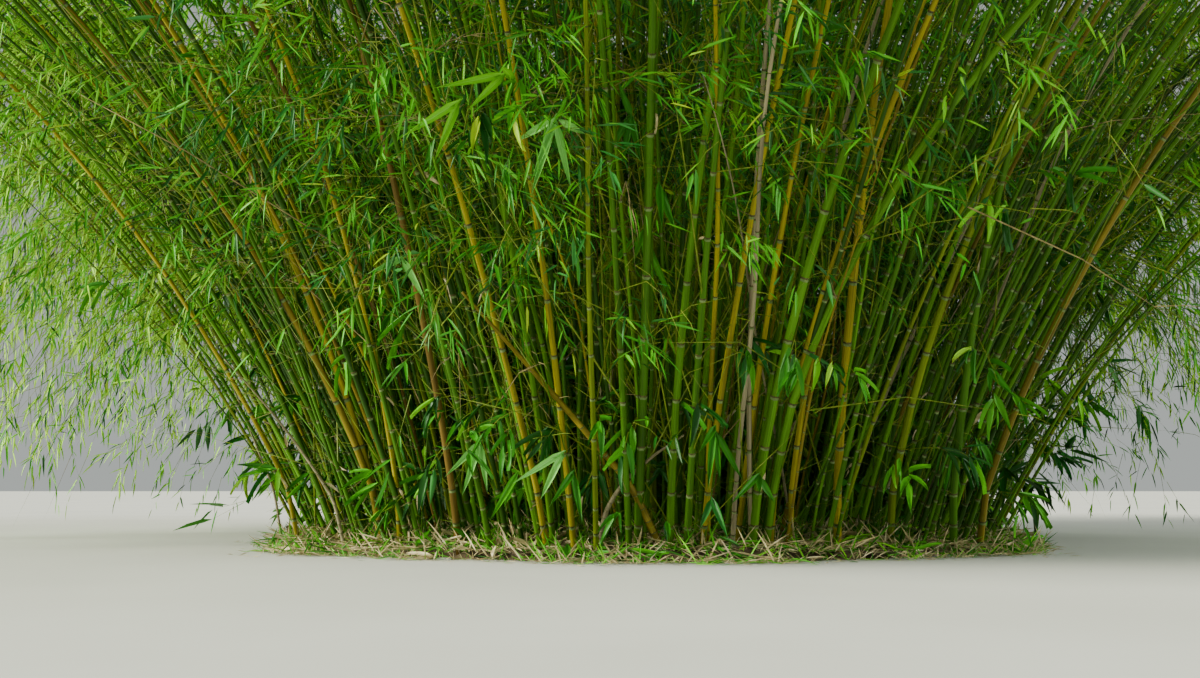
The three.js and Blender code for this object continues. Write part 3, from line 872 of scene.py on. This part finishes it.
def carried_on(points, whole, outward):
    """A line carried on to its whole length, as far as the frame's box lets it."""
    length = np.linalg.norm(np.diff(points, axis=0), axis=1).sum()
    heading = unit(points[-1] - points[-2])
    while length < whole:
        heading = unit(heading + NOTED_BEND * outward - np.array((0.0, 0.0, NOTED_SAG)))
        further = points[-1] + heading * NOTED_STEP
        if not within_reach(further[None], REACH_SPARE)[0]:
            break
        points.append(further)
        length += NOTED_STEP
    return np.array(points)


def places_on(line, marks, wanted):
    """Places on a line at the wanted marks, where marks has the mark of each of its own points."""
    return np.stack([np.interp(wanted, marks, line[:, axis]) for axis in range(3)], axis=1)


def evenly_spaced(points):
    """As many points along a line as every cane has."""
    reached = np.concatenate(([0.0], np.cumsum(np.linalg.norm(np.diff(points, axis=0), axis=1))))
    even = np.linspace(0.0, reached[-1], CANE_POINTS + 1)
    return places_on(points, reached, even)


def noted_cane(row, cells, broken):
    """A cane through its three pixels, on the outer cell where its foot stands."""
    name, diameter, *pixels = row
    foot = foot_place(pixels[0][0])
    share = foot.xy.length / FOOT_RADIUS
    whole = 0.0 if broken else lerp(CENTRE_LENGTH, RIM_LENGTH, min(share, 1.0) ** 2)
    outward = unit(np.array((foot.x, foot.y, 0.0)))
    line = carried_on(line_through(foot, share, np.array(pixels, float)), whole, outward)
    azimuth = math.atan2(foot.y, foot.x) % TURN
    outer = [cell for cell in cells if cell["ring"]["name"] == "outer"]
    skin = list(CANE_COLOURS).index(name)
    return {
        "cell": outer[int(azimuth / outer[0]["width"]) % len(outer)], "points": evenly_spaced(line),
        "radius": diameter / 2, "share": share, "azimuth": azimuth, "skin": skin,
        "bare": broken or skin == DEAD_SKIN, "leafy": LEAFY[0],
    }


# Canes


def node_heights():
    """Where the nodes lie, as shares of a cane's length: close together at its foot and tip."""
    steps = np.arange(NODES) + 0.5
    gaps = 0.42 + np.sin(np.pi * steps / NODES) ** 0.8
    gaps[:3] *= (0.45, 0.7, 0.9)
    return np.concatenate(([0.0], np.cumsum(gaps) / gaps.sum()))


HEIGHTS = node_heights()
SKIN, RING, BLOOM = 0, 1, 2


def cane_template(sides, fine):
    """A cane of unit length, with a ridge at each node and, on fine canes, a waxy band under the
    ridges of their lower half.
    """
    band = NODE_BAND / RIM_LENGTH
    bloom = BLOOM_BAND / RIM_LENGTH
    rings = [(0.0, 1.0)]
    slots = []
    for height in HEIGHTS[1:-1]:
        if fine and height < FINE_HEIGHT:
            rings += [(height - bloom, 1.0), (height - band / 2, 1.02), (height, RIDGE), (height + band, 1.0)]
            slots += [SKIN, BLOOM, RING, RING]
        else:
            rings += [(height - band, 1.0), (height + band / 2, RIDGE)]
            slots += [SKIN, RING]
    rings.append((1.0, 1.0))
    slots.append(SKIN)
    return tube_template(sides, rings, slots)


def section_axes(points, shares):
    """Places on a line at shares of its length, with the axes of the cross-sections there."""
    knots = np.linspace(0.0, 1.0, len(points))
    place = places_on(points, knots, shares)
    ahead = places_on(points, knots, np.clip(shares + 0.02, 0.0, 1.0))
    behind = places_on(points, knots, np.clip(shares - 0.02, 0.0, 1.0))
    tangent = unit(ahead - behind)
    chord = points[-1] - points[0]
    level = unit(np.array((-chord[1], chord[0], 1e-6)))
    side = unit(np.cross(tangent, level))
    return place, tangent, side, np.cross(tangent, side)


def cane_radius(cane, share):
    return cane["radius"] * (1 - CANE_TAPER * share ** 1.15)


def bend_cane(template, cane):
    """The template of a cane laid along one cane's own line, with its taper."""
    shares = template.points[:, 2].astype(float)
    place, _, side, upper = section_axes(cane["points"], shares)
    radius = cane_radius(cane, shares)[:, None]
    points = place + side * template.points[:, :1] * radius + upper * template.points[:, 1:2] * radius
    points[:, 2] = np.maximum(points[:, 2], LOWEST_CANE)
    return points


def node_stubs(canes, rng):
    """Short bare side shoots at the canes' lower nodes, as lines."""
    starts, tangents, turns = [], [], []
    for cane in canes:
        shares = HEIGHTS[1:-3]
        place, tangent, _, _ = section_axes(cane["points"], shares)
        for j in np.nonzero(rng.random(len(shares)) < STUB_CHANCE * cane["share"] ** 1.5)[0]:
            for _ in range(rng.integers(1, 5)):
                starts.append(place[j])
                tangents.append(tangent[j])
                turns.append(rng.uniform(0, TURN))
    starts = np.array(starts)
    angles = np.radians(rng.uniform(*STUB_ANGLES, len(starts)))
    heading = off_axis(np.array(tangents), np.array(turns), angles)
    lengths = SHORTEST_STUB + LONGER_STUB * rng.random(len(starts)) ** 1.7
    lines = sagging_lines(starts, heading, lengths, rng.uniform(-0.5, 0.5, len(starts)), 2)
    return lines[lines[..., 2].min(axis=1) > LOWEST_STUB]


def seen_as(cane):
    if cane["share"] <= FINE_SHARE:
        return "inner"
    return "near" if cane["points"][0, 1] < NEAR_SIDE else "far"


def make_canes(canes, cells, materials, rng):
    """One piece for each cell of the root crown, with all of its canes and their stubs."""
    templates = {
        "near": cane_template(6, True), "far": cane_template(5, True), "inner": cane_template(4, False),
    }
    stub = slim_tube(3, 1)
    names = [*CANE_COLOURS, "node_ring", "node_bloom", "twig", "twig_dry"]
    ring_slot = len(CANE_COLOURS)
    for cell in cells:
        own = [cane for cane in canes if cane["cell"] is cell]
        runs = []
        for kind, template in templates.items():
            group = [cane for cane in own if seen_as(cane) == kind]
            if not group:
                continue
            points = np.stack([bend_cane(template, cane) for cane in group])
            skins = np.array([cane["skin"] for cane in group])[:, None]
            face = template.slots[None, :]
            slots = np.where(face == SKIN, skins, np.where(face == RING, ring_slot, ring_slot + 1))
            runs.append(run_of(template, points, slots, rng.uniform(0.0, 40.0, (len(group), 2))))
        lines = node_stubs(own, rng)
        thick = rng.uniform(*STUB_RADIUS, len(lines))
        stub_points = lay_tubes(stub, lines, thick, thick)
        stub_slots = ring_slot + 2 + (rng.random(len(lines)) < DRY_STUBS)
        runs.append(run_of(stub, stub_points, stub_slots))
        piece = joined_piece(f"canes_{cell['label']}", runs, names, materials)
        finish_piece(piece, "canes", f"stems_{cell['label']}")


# Branches, twigs and leaves


def unit(vectors):
    return vectors / np.maximum(np.linalg.norm(vectors, axis=-1, keepdims=True), 1e-9)


def level_across(directions):
    """The level directions that stand across given ones."""
    x, y = directions[..., 0], directions[..., 1]
    return unit(np.stack((-y, x, np.full(x.shape, 1e-4)), axis=-1))


def off_axis(tangents, turns, angle):
    """Directions that leave an axis at an angle, each turned round it. A turn of half a circle
    is the outer, lower side of a leaning cane."""
    level = level_across(tangents)
    side = unit(np.cross(tangents, level))
    around = side * np.cos(turns)[:, None] + level * np.sin(turns)[:, None]
    return unit(tangents * np.cos(angle)[:, None] + around * np.sin(angle)[:, None])


def sagging_lines(starts, headings, lengths, sags, count):
    """Lines that set out along a heading and sag more towards their ends."""
    share = np.linspace(0.0, 1.0, count)[None, :, None]
    lines = starts[:, None, :] + headings[:, None, :] * lengths[:, None, None] * share
    lines[:, :, 2] -= (sags * lengths)[:, None] * share[..., 0] ** 2
    return lines


def points_along(lines, shares):
    """The place and the direction of each line at its own share of its length."""
    last = lines.shape[1] - 1
    spot = np.clip(shares * last, 0.0, last - 1e-6)
    index = spot.astype(int)
    mix = (spot - index)[:, None]
    rows = np.arange(len(lines))
    start = lines[rows, index]
    end = lines[rows, index + 1]
    return start + (end - start) * mix, unit(end - start)


def lay_tubes(template, lines, start_radius, end_radius):
    """A tube template along each of many lines."""
    shares = template.points[:, 2]
    last = lines.shape[1] - 1
    index = np.minimum((shares * last).astype(int), last - 1)
    mix = (shares * last - index)[None, :, None]
    start = lines[:, index]
    end = lines[:, index + 1]
    tangent = unit(end - start)
    level = level_across(tangent)
    side = np.cross(tangent, level)
    radius = lerp(start_radius[:, None], end_radius[:, None], shares[None, :])[..., None]
    around = side * template.points[None, :, :1] + level * template.points[None, :, 1:2]
    return start + (end - start) * mix + around * radius


def lay_blades(template, roots, forward, lengths, widths, rng, roll_spread=0.55):
    """A blade at each root, rolled a little about its own midrib."""
    across = level_across(forward)
    normal = np.cross(forward, across)
    roll = rng.normal(0.0, roll_spread, len(forward))
    rolled = across * np.cos(roll)[:, None] + normal * np.sin(roll)[:, None]
    normal = np.cross(forward, rolled)
    x = template.points[None, :, :1] * lengths[:, None, None]
    y = template.points[None, :, 1:2] * widths[:, None, None]
    z = template.points[None, :, 2:3] * lengths[:, None, None]
    return (roots[:, None, :] + forward[:, None, :] * x
            + rolled[:, None, :] * y + normal[:, None, :] * z)


def off_side(azimuth, side):
    """The angle between two bearings, from 0 to half a circle."""
    return abs((azimuth - side + math.pi) % TURN - math.pi)


def openness(azimuth):
    """How far a cane stands on the clump's open side: 1 in its middle, 0 off it."""
    away = off_side(azimuth, OPEN_SIDE)
    return float(1 - smooth_step(OPEN_HALF_WIDTH * 0.8, OPEN_HALF_WIDTH, away))


def bareness(azimuth):
    """How far a cane stands on a bare side: 1 in its middle, 0 off it."""
    return max(
        float(1 - smooth_step(half_width * 0.6, half_width, off_side(azimuth, side)))
        for side, half_width in BARE_SIDES
    )


def hanging(azimuth):
    """How far a cane stands on the side where branches hang lowest: 1 in its middle."""
    low_side = 1 - smooth_step(HANGING_HALF_WIDTH * 0.72, HANGING_HALF_WIDTH, off_side(azimuth, HANGING_SIDE))
    far_side = 1 - smooth_step(0.4, 0.9, off_side(azimuth, FAR_SIDE))
    return float(max(low_side, FAR_HANGING * far_side))


def crown_odds(cane, height, opened, bare):
    """The chance of a branch of the crown, smaller where it is hidden and greater at the top."""
    share = cane["share"]
    behind = max(0.0, math.sin(cane["azimuth"])) * share
    raised = max(OPEN_RISE * opened, BARE_RISE * bare * (share > RISE_SHARE))
    start = lerp(*CROWN_START, share) + raised - BEHIND_DROP * behind
    hidden = (share < SKIRT_SHARE) * (1 - smooth_step(*HIDDEN_HEIGHTS, height))
    odds = smooth_step(start, start + SETTING_IN, height) * cane["leafy"]
    odds = odds * lerp(1.0, HIDDEN_FACTOR, hidden)
    odds = odds * lerp(1.0, TOP_FACTOR, smooth_step(*TOP_HEIGHTS, height))
    return odds * lerp(1.0, BARE_FACTOR, bare * smooth_step(*BARE_HEIGHTS, height))


def branch_odds(cane, height):
    """The chance of each kind of branch at heights up a cane."""
    share, azimuth = cane["share"], cane["azimuth"]
    opened = openness(azimuth) * (share > RISE_SHARE)
    bare = bareness(azimuth)
    facing = max(0.0, math.cos(azimuth - SPRAY_SIDE)) ** SPRAY_POWER
    aside = abs(math.cos(azimuth)) * share
    deep = smooth_step(-0.3, 0.1, math.sin(azimuth) * share) * (1 - smooth_step(0.58, 0.88, aside))
    chance = {kind: row[0] for kind, row in BRANCH_CHANCES.items()}
    standing = {
        "skirt": chance["skirt"] * (share > SKIRT_SHARE) * hanging(azimuth),
        "spray": (OPEN_SPRAYS * opened + chance["spray"] * facing) * (share > SPRAY_SHARE),
        "fill": deep * lerp(chance["fill"], HIGHER_FILL, smooth_step(*KNEE_HEIGHTS, height)),
        "shoot": chance["shoot"] * share,
        "whip": chance["whip"] * share,
        "switch": chance["switch"] * (share > SWITCH_SHARE),
    }
    odds = {"crown": crown_odds(cane, height, opened, bare)}
    for kind, (start, full, thin, end) in BRANCH_HEIGHTS.items():
        band = smooth_step(start, full, height) * (1 - smooth_step(thin, end, height))
        odds[kind] = band * standing[kind] * lerp(1.0, BRANCH_CHANCES[kind][1], bare)
    return odds


def branch_seats(canes, rng):
    """Where branches of each kind leave the canes: the places, the canes' directions there, the
    turns round them and the shares of their lengths."""
    seats = {kind: [] for kind in BRANCHES}
    shares = HEIGHTS[1:]
    for number, cane in enumerate(canes):
        if cane["bare"]:
            continue
        place, tangent, _, _ = section_axes(cane["points"], shares)
        for kind, odds in branch_odds(cane, place[:, 2]).items():
            for j in np.nonzero(rng.random(len(shares)) < odds)[0]:
                outward = math.pi + rng.normal(0.0, 0.6)
                turn = outward if kind == "skirt" else number + j * GOLDEN_ANGLE
                seats[kind].append((place[j], tangent[j], turn, shares[j]))
    seats["shoot"] += noted_sprays(canes)
    return {kind: [np.array(column) for column in zip(*rows)] for kind, rows in seats.items()}


def pixels_of(points):
    """Where points fall in the photograph."""
    away = points - np.array(CAMERA_PLACE)
    ahead = away[:, 1] * math.cos(CAMERA_PITCH) + away[:, 2] * math.sin(CAMERA_PITCH)
    up = away[:, 2] * math.cos(CAMERA_PITCH) - away[:, 1] * math.sin(CAMERA_PITCH)
    return np.stack((IMAGE_WIDTH / 2 + FOCAL_PIXELS * away[:, 0] / ahead,
                     IMAGE_HEIGHT / 2 - FOCAL_PIXELS * up / ahead), axis=1)


def front_nodes(canes):
    """The nodes of the living canes in front, with the canes' directions there."""
    front = [cane for cane in canes if cane["points"][0, 1] < -1.2 and not cane["bare"]]
    sections = [section_axes(cane["points"], HEIGHTS[1:]) for cane in front]
    return np.concatenate([row[0] for row in sections]), np.concatenate([row[1] for row in sections])


def nearest_node(places, pixel):
    """The node whose own pixel lies nearest, one further in front being preferred."""
    return np.argmin(np.linalg.norm(pixels_of(places) - np.array(pixel), axis=1) + 12 * places[:, 1])


def noted_sprays(canes):
    """Seats of the noted shoots, each on the node nearest to its hub among the canes in front."""
    places, tangents = front_nodes(canes)
    rows = []
    for hub in NOTED_SPRAYS:
        nearest = nearest_node(places, hub)
        rows += [(places[nearest], tangents[nearest], math.pi + turn, 0.2) for turn in NOTED_TURNS]
    return rows


def grow_branches(rule, seat, rng):
    starts, tangents, turns, shares = seat
    count = len(starts)
    angle = np.radians(rule["angle"] + rng.uniform(-BRANCH_SPREAD, BRANCH_SPREAD, count))
    headings = off_axis(tangents, turns, angle)
    headings[:, 2] += rng.uniform(*BRANCH_LIFT, count)
    lengths = rng.uniform(*rule["length"], count) * (1 - 0.4 * shares ** 3)
    sags = rule["sag"] * rng.uniform(*BRANCH_SAGS, count)
    lines = sagging_lines(starts, unit(headings), lengths, sags, 3)
    kept = within_reach(lines, BRANCH_SPARE)
    return lines[kept], lengths[kept]


def grow_twigs(rule, branches, rng):
    """Twigs that leave the branches by turns, and one that carries each on."""
    lines, owners = [], []
    count = len(branches)
    for k in range(rule["twigs"]):
        shares = rng.uniform(*TWIG_PLACES, count) if k else np.full(count, 1.0)
        place, tangent = points_along(branches, shares)
        turns = rng.uniform(0, TURN, count)
        heading = off_axis(tangent, turns, np.radians(np.full(count, TWIG_ANGLE if k else END_TWIG_ANGLE)))
        length = rng.uniform(*rule["twig_length"], count)
        sags = TWIG_SAG * rng.uniform(*TWIG_SAGS, count)
        lines.append(sagging_lines(place, heading, length, sags, rule["twig_parts"] + 1))
        owners.append(np.arange(count))
    lines = np.concatenate(lines)
    kept = within_reach(lines, REACH_SPARE) & (lines[..., 2].min(axis=1) > LOWEST_LEAF)
    return lines[kept], np.concatenate(owners)[kept]


def leaf_growth(roots):
    """How much larger leaves are in the upper and outer crown, where each stands for several."""
    high = smooth_step(*HIGH_LEAF_HEIGHTS, roots[:, 2])
    wide = smooth_step(*WIDE_LEAF_RADII, np.linalg.norm(roots[:, :2], axis=1))
    return lerp(1.0, HIGH_LEAF, high) * lerp(1.0, WIDE_LEAF, wide)


def grow_leaves(rule, twigs, rng):
    """A fan of leaves on each twig: one at its end, the others by turns down its last part."""
    count = len(twigs)
    roots, headings, owners = [], [], []
    for k in range(rule["leaves"]):
        share = np.clip(1.0 - LEAF_STEP * k + rng.uniform(-0.04, 0.04, count), 0.05, 1.0)
        place, tangent = points_along(twigs, share)
        turn = rng.uniform(0, TURN, count)
        angle = np.radians((LEAF_TURN if k else 0.0) + rng.uniform(-LEAF_SPREAD, LEAF_SPREAD, count))
        heading = off_axis(tangent, turn, angle)
        heading[:, 2] -= rule["droop"] * rng.uniform(*LEAF_DROOPS, count)
        roots.append(place)
        headings.append(unit(heading))
        owners.append(np.arange(count))
    return np.concatenate(roots), np.concatenate(headings), np.concatenate(owners)


def at_depth(pixel, depth):
    """The place behind a pixel at a distance from the camera, along +Y."""
    sight = sight_line(pixel)
    return np.array(CAMERA_PLACE + sight * ((depth - CAMERA_PLACE.y) / sight.y))


def noted_fans(canes, blade):
    """The noted fans: a thin twig from a node to each hub, and its leaves from there to their tips,
    face on to the camera."""
    places, _ = front_nodes(canes)
    twigs, leaves, greens = [], [], []
    x, y, z = (blade.points[:, axis:axis + 1] for axis in range(3))
    for green, hub_pixel, tips in NOTED_FANS:
        node = places[nearest_node(places, hub_pixel)]
        hub = at_depth(hub_pixel, node[1] - FAN_REACH)
        twigs.append((node, lerp(node, hub, 0.5) + np.array((0.0, 0.0, 0.2 * FAN_REACH)), hub))
        for number, pixel in enumerate(tips):
            forward = at_depth(pixel, hub[1] - FAN_REACH * (0.4 - 0.2 * number)) - hub
            length = np.linalg.norm(forward)
            across = unit(np.cross(forward, hub - np.array(CAMERA_PLACE)))
            normal = np.cross(forward / length, across)
            leaves.append(hub + forward * x + across * y * FAN_LEAF_WIDTH + normal * z * length)
            greens.append(list(LEAF_COLOURS).index(green))
    return np.array(twigs), np.stack(leaves), np.array(greens)


def deal(count, shares, rng):
    """Slots dealt out at random in given shares."""
    edges = np.cumsum(shares) / np.sum(shares)
    return np.minimum(np.searchsorted(edges, rng.random(count)), len(shares) - 1)


def deal_greens(middles, painted_shade, rng):
    """A green for each spray, with painted sunlight: lighter on the outside of the crown, and much
    lighter on its sunny flanks to the left and the right, fading towards the front.
    """
    # painted sunlight: lighter greens on the crown's outside and, more, on its sunny flanks
    outside = np.clip((np.linalg.norm(middles[:, :2], axis=1) - 1.4) / 3.0, 0.0, 1.0)
    aside = np.where(middles[:, 0] < 0, -middles[:, 0] - 0.8, 0.7 * (middles[:, 0] - 1.4))
    sunny = np.clip(aside / 2.0, 0.0, 1.0) * np.clip((middles[:, 1] + 3.4) / 3.4, 0.0, 1.0)
    edges = np.cumsum(LEAF_SHARES) / np.sum(LEAF_SHARES)
    light = DRAWN_LIGHT * rng.random(len(middles)) + OUTSIDE_PAINTED_SUN * outside + SUNNY_PAINTED_SUN * sunny
    light = np.clip(light - LESS_LIGHT - painted_shade, 0.0, 0.9999)
    return np.searchsorted(edges, light)


def mass_sites():
    """The frame's foliage masses by name, and the middle of each."""
    names = sorted(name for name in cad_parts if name.startswith("foliage_"))
    boxes = [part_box(name) for name in names]
    return names, np.array([(low + high) / 2 for low, high in boxes])


def nearest_site(places, sites):
    return np.argmin(np.linalg.norm(places[:, None, :] - sites[None], axis=2), axis=1)


def grow_kind(kind, seat, sites, shapes, rng):
    """The branches of one kind with their twigs and leaves, as runs: the part, the template and the
    points, with the mass and the slot of each copy."""
    rule = BRANCHES[kind]
    tube, twig_tube = shapes[2], shapes[rule["twig_parts"]]
    blade = shapes["fine" if kind == "shoot" else "plain"]
    branches, lengths = grow_branches(rule, seat, rng)
    middles = branches.mean(axis=1)
    nearest = nearest_site(middles, sites)
    radii = BRANCH_RADIUS * np.clip(lengths / 0.8, 0.4, 1.2)
    dry = (rng.random(len(branches)) < DRY_BRANCHES.get(kind, DRY_OTHERS)).astype(int)
    twigs, twig_owner = grow_twigs(rule, branches, rng)
    thick = np.full(len(twigs), TWIG_RADIUS)
    leafy = np.nonzero(rng.random(len(twigs)) < LEAFY_TWIGS.get(kind, 1.0))[0]
    roots, headings, leaf_owner = grow_leaves(rule, twigs[leafy], rng)
    leaf_branch = twig_owner[leafy][leaf_owner]
    # deeper greens by kind are painted shade, for the fill deep in the clump
    green = deal_greens(middles, PAINTED_SHADE_BY_KIND.get(kind, 0.0), rng)[leaf_branch]
    stray = deal(len(green), LEAF_SHARES, rng)
    green = np.where(rng.random(len(green)) < STRAY_GREENS, stray, green)
    sizes = rng.uniform(*rule["leaf"], len(roots)) * leaf_growth(roots)
    points = lay_blades(blade, roots, headings, sizes, sizes * rule["slim"], rng)
    kept = within_reach(points) & (points[..., 2].min(axis=1) > LOWEST_LEAF) & (dry[leaf_branch] == 0)
    twig_points = lay_tubes(twig_tube, twigs, thick, thick * 0.5)
    return [
        ("twigs", tube, lay_tubes(tube, branches, radii, radii * 0.4), nearest, dry),
        ("twigs", twig_tube, twig_points, nearest[twig_owner], dry[twig_owner]),
        ("leaves", blade, points[kept], nearest[leaf_branch][kept], green[kept]),
    ]


def fan_runs(canes, sites, shapes):
    """The noted fans as runs of the same form."""
    twigs, leaves, greens = noted_fans(canes, shapes["fine"])
    thick = np.full(len(twigs), TWIG_RADIUS)
    nearest = nearest_site(twigs[:, 2], sites)
    return [
        ("twigs", shapes[2], lay_tubes(shapes[2], twigs, thick, thick), nearest, nearest * 0),
        ("leaves", shapes["fine"], leaves, nearest_site(leaves[:, 0], sites), greens),
    ]


def grow_foliage(canes, sites, rng):
    """The runs of all kinds of branches. A shape with a number is a tube of as many parts."""
    shapes = {1: slim_tube(3, 1), 2: slim_tube(3, 2), "plain": plain_blade(), "fine": fine_blade()}
    grown = []
    for kind, seat in branch_seats(canes, rng).items():
        grown += grow_kind(kind, seat, sites, shapes, rng)
    return grown + fan_runs(canes, sites, shapes)


def make_foliage(canes, materials, rng):
    """Two pieces for each foliage mass of the frame: its leaves, and its branches and twigs."""
    names, sites = mass_sites()
    grown = grow_foliage(canes, sites, rng)
    skins = {"leaves": list(LEAF_COLOURS), "twigs": ["twig", "twig_dry"]}
    for number, name in enumerate(names):
        for part, material_names in skins.items():
            runs = []
            for run_part, template, points, mass, slots in grown:
                if run_part == part:
                    own = mass == number
                    runs.append(run_of(template, points[own], slots[own]))
            piece = joined_piece(f"{part}_{name.removeprefix('foliage_')}", runs, material_names, materials)
            finish_piece(piece, "leaves", name)


# The root crown, with its litter and old sheaths


def make_crown(materials, rng):
    """The low mound that the canes grow from, roughened where old sheaths cover it."""
    bm = bmesh.new()
    bmesh.ops.create_circle(bm, segments=MOUND_SIDES, radius=CROWN_RADIUS, cap_ends=False)
    edges = bm.edges[:]
    for ring in range(1, MOUND_RINGS):
        grown = bmesh.ops.extrude_edge_only(bm, edges=edges)["geom"]
        edges = of_kind(grown, bmesh.types.BMEdge)
        shrink = (MOUND_RINGS - ring) / (MOUND_RINGS - ring + 1)
        verts = of_kind(grown, bmesh.types.BMVert)
        bmesh.ops.scale(bm, vec=(shrink, shrink, 1.0), verts=verts)
    bmesh.ops.contextual_create(bm, geom=edges)
    for vert in bm.verts:
        radius = vert.co.xy.length
        azimuth = math.atan2(vert.co.y, vert.co.x)
        ragged = 1.0 - MOUND_RAGGED * rng.random() * min(1.0, radius) ** 2
        height = float(crown_top(radius, azimuth)) + rng.uniform(-MOUND_ROUGH, MOUND_ROUGH)
        edge = radius > CROWN_RADIUS * 0.999
        vert.co = (vert.co.x * ragged, vert.co.y * ragged, 0.0 if edge else max(0.004, height))
    bmesh.ops.recalc_face_normals(bm, faces=bm.faces[:])
    for face in bm.faces:
        face.smooth = True
    finish_piece(shaped_object("root_crown", bm, materials["mould"]), "canes")


def scattered(count, rng, near, far, height):
    """Places over the root crown between two shares of its radius, some a little beyond its edge."""
    radius = CROWN_RADIUS * np.sqrt(lerp(near ** 2, far ** 2, rng.random(count)))
    azimuth = rng.uniform(-math.pi, math.pi, count)
    ragged = 1 + 0.03 * np.sin(azimuth * 7) + 0.02 * np.sin(azimuth * 17) + 0.01 * np.sin(azimuth * 41)
    radius = radius * ragged
    top = np.where(radius < CROWN_RADIUS, crown_top(radius, azimuth), 0.0)
    rise = top + rng.uniform(0.0, height, count)
    return np.stack((radius * np.cos(azimuth), radius * np.sin(azimuth), rise), axis=1)


def make_litter(materials, rng):
    """Straw, old leaves and fresh low blades among the canes' feet."""
    blades = {"plain": plain_blade(), "fine": fine_blade()}
    runs = []
    for blade, count, near, far, height, rise, size, slim, shares in LITTER_LAYERS:
        template = blades[blade]
        roots = scattered(count, rng, near, far, height)
        heading = rng.uniform(-math.pi, math.pi, count)
        forward = unit(np.stack((np.cos(heading), np.sin(heading), rng.uniform(*rise, count)), axis=1))
        lengths = rng.uniform(*size, count)
        points = lay_blades(template, roots, forward, lengths, lengths * rng.uniform(*slim, count), rng)
        points[..., 2] = np.maximum(points[..., 2], LITTER_FLOOR)
        runs.append(run_of(template, points, deal(count, shares, rng)))
    piece = joined_piece("litter", runs, LITTER_FINISHES, materials)
    finish_piece(piece, "canes")


def make_sheaths(canes, materials, rng):
    """Papery old sheaths that still hang at some nodes."""
    roots, forward, lengths = [], [], []
    for cane in canes:
        shares = HEIGHTS[1:10]
        place, tangent, _, _ = section_axes(cane["points"], shares)
        for j in np.nonzero(rng.random(len(shares)) < SHEATH_CHANCE)[0]:
            upright = rng.random() < UPRIGHT_CHANCE or place[j, 2] < UPRIGHT_BELOW
            turn = rng.uniform(0, TURN)
            angle = math.radians(rng.uniform(*(UPRIGHT_ANGLES if upright else HANGING_ANGLES)))
            axes = np.repeat(tangent[j:j + 1], 2, axis=0)
            heading, outward = off_axis(axes, np.array((turn, turn)), np.array((angle, 1.5)))
            roots.append(place[j] + outward * cane_radius(cane, shares[j]))
            forward.append(heading)
            lengths.append(rng.uniform(*SHEATH_LENGTHS))
    lengths = np.array(lengths)
    fine = fine_blade()
    widths = lengths * rng.uniform(*SHEATH_SLIMNESS, len(lengths))
    points = lay_blades(fine, np.array(roots), np.array(forward), lengths, widths, rng, 1.2)
    run = run_of(fine, points, deal(len(points), (0.7, 0.3), rng))
    piece = joined_piece("sheaths", [run], ["sheath", "litter"], materials)
    finish_piece(piece, "canes")


# Stage


def make_stage():
    floor_material, tree, shader = new_material("floor", 0.9)
    place = tree.nodes.new("ShaderNodeTexCoord")
    noise = noise_node(tree, place.outputs["Object"], (1.0, 1.0, 1.0), 0.8, 3.0)
    stops = ((0.3, (0.50, 0.50, 0.47)), (0.7, (0.55, 0.55, 0.52)))
    colour_from(tree, shader, noise.outputs["Fac"], stops)
    bm = bmesh.new()
    bmesh.ops.create_circle(bm, segments=64, radius=FLOOR_RADIUS, cap_ends=True)
    floor = shaped_object("floor", bm, floor_material)


def add_sun(name, source, strength, softness, colour):
    """A soft light that comes from the direction of a point."""
    data = bpy.data.lights.new(name, "SUN")
    data.energy = strength
    data.angle = math.radians(softness)
    data.color = colour
    light = add_object(name, data)
    light.rotation_euler = (-Vector(source)).to_track_quat("-Z", "Y").to_euler()


def make_light():
    world = bpy.data.worlds.new("studio")
    bpy.context.scene.world = world
    world.use_nodes = True
    background = world.node_tree.nodes["Background"]
    background.inputs["Color"].default_value = WORLD_COLOUR
    background.inputs["Strength"].default_value = WORLD_STRENGTH
    for name, light in LIGHTS.items():
        add_sun(name, *light)


def make_camera():
    data = bpy.data.cameras.new("camera")
    data.sensor_width = SENSOR_WIDTH
    data.lens = FOCAL_PIXELS / IMAGE_WIDTH * SENSOR_WIDTH
    data.clip_end = 1000.0
    camera = add_object("camera", data)
    turn = Matrix.Rotation(math.pi / 2 + CAMERA_PITCH, 4, "X")
    camera.matrix_world = Matrix.Translation(CAMERA_PLACE) @ turn
    bpy.context.scene.camera = camera


# The clump


def all_canes(cells, rng):
    canes = [grow_cane(cell, k) for cell in cells for k in range(cell["ring"]["grown"])]
    for cane, skin in zip(canes, deal(len(canes), CANE_SHARES, rng)):
        cane["skin"] = int(skin)
        cane["bare"] = skin == DEAD_SKIN or cane["slender"] and rng.random() < BARE_SLENDER
        cane["leafy"] = rng.uniform(*LEAFY)
    canes += [noted_cane(row, cells, False) for row in NOTED_CANES]
    return canes + [noted_cane(row, cells, True) for row in BROKEN_CANES]


def main():
    make_camera()
    make_light()
    make_stage()
    materials = make_materials()
    rng = np.random.default_rng(7)
    cells = crown_cells()
    canes = all_canes(cells, rng)
    make_canes(canes, cells, materials, rng)
    make_foliage(canes, materials, rng)
    make_sheaths(canes, materials, rng)
    make_crown(materials, rng)
    make_litter(materials, rng)


main()
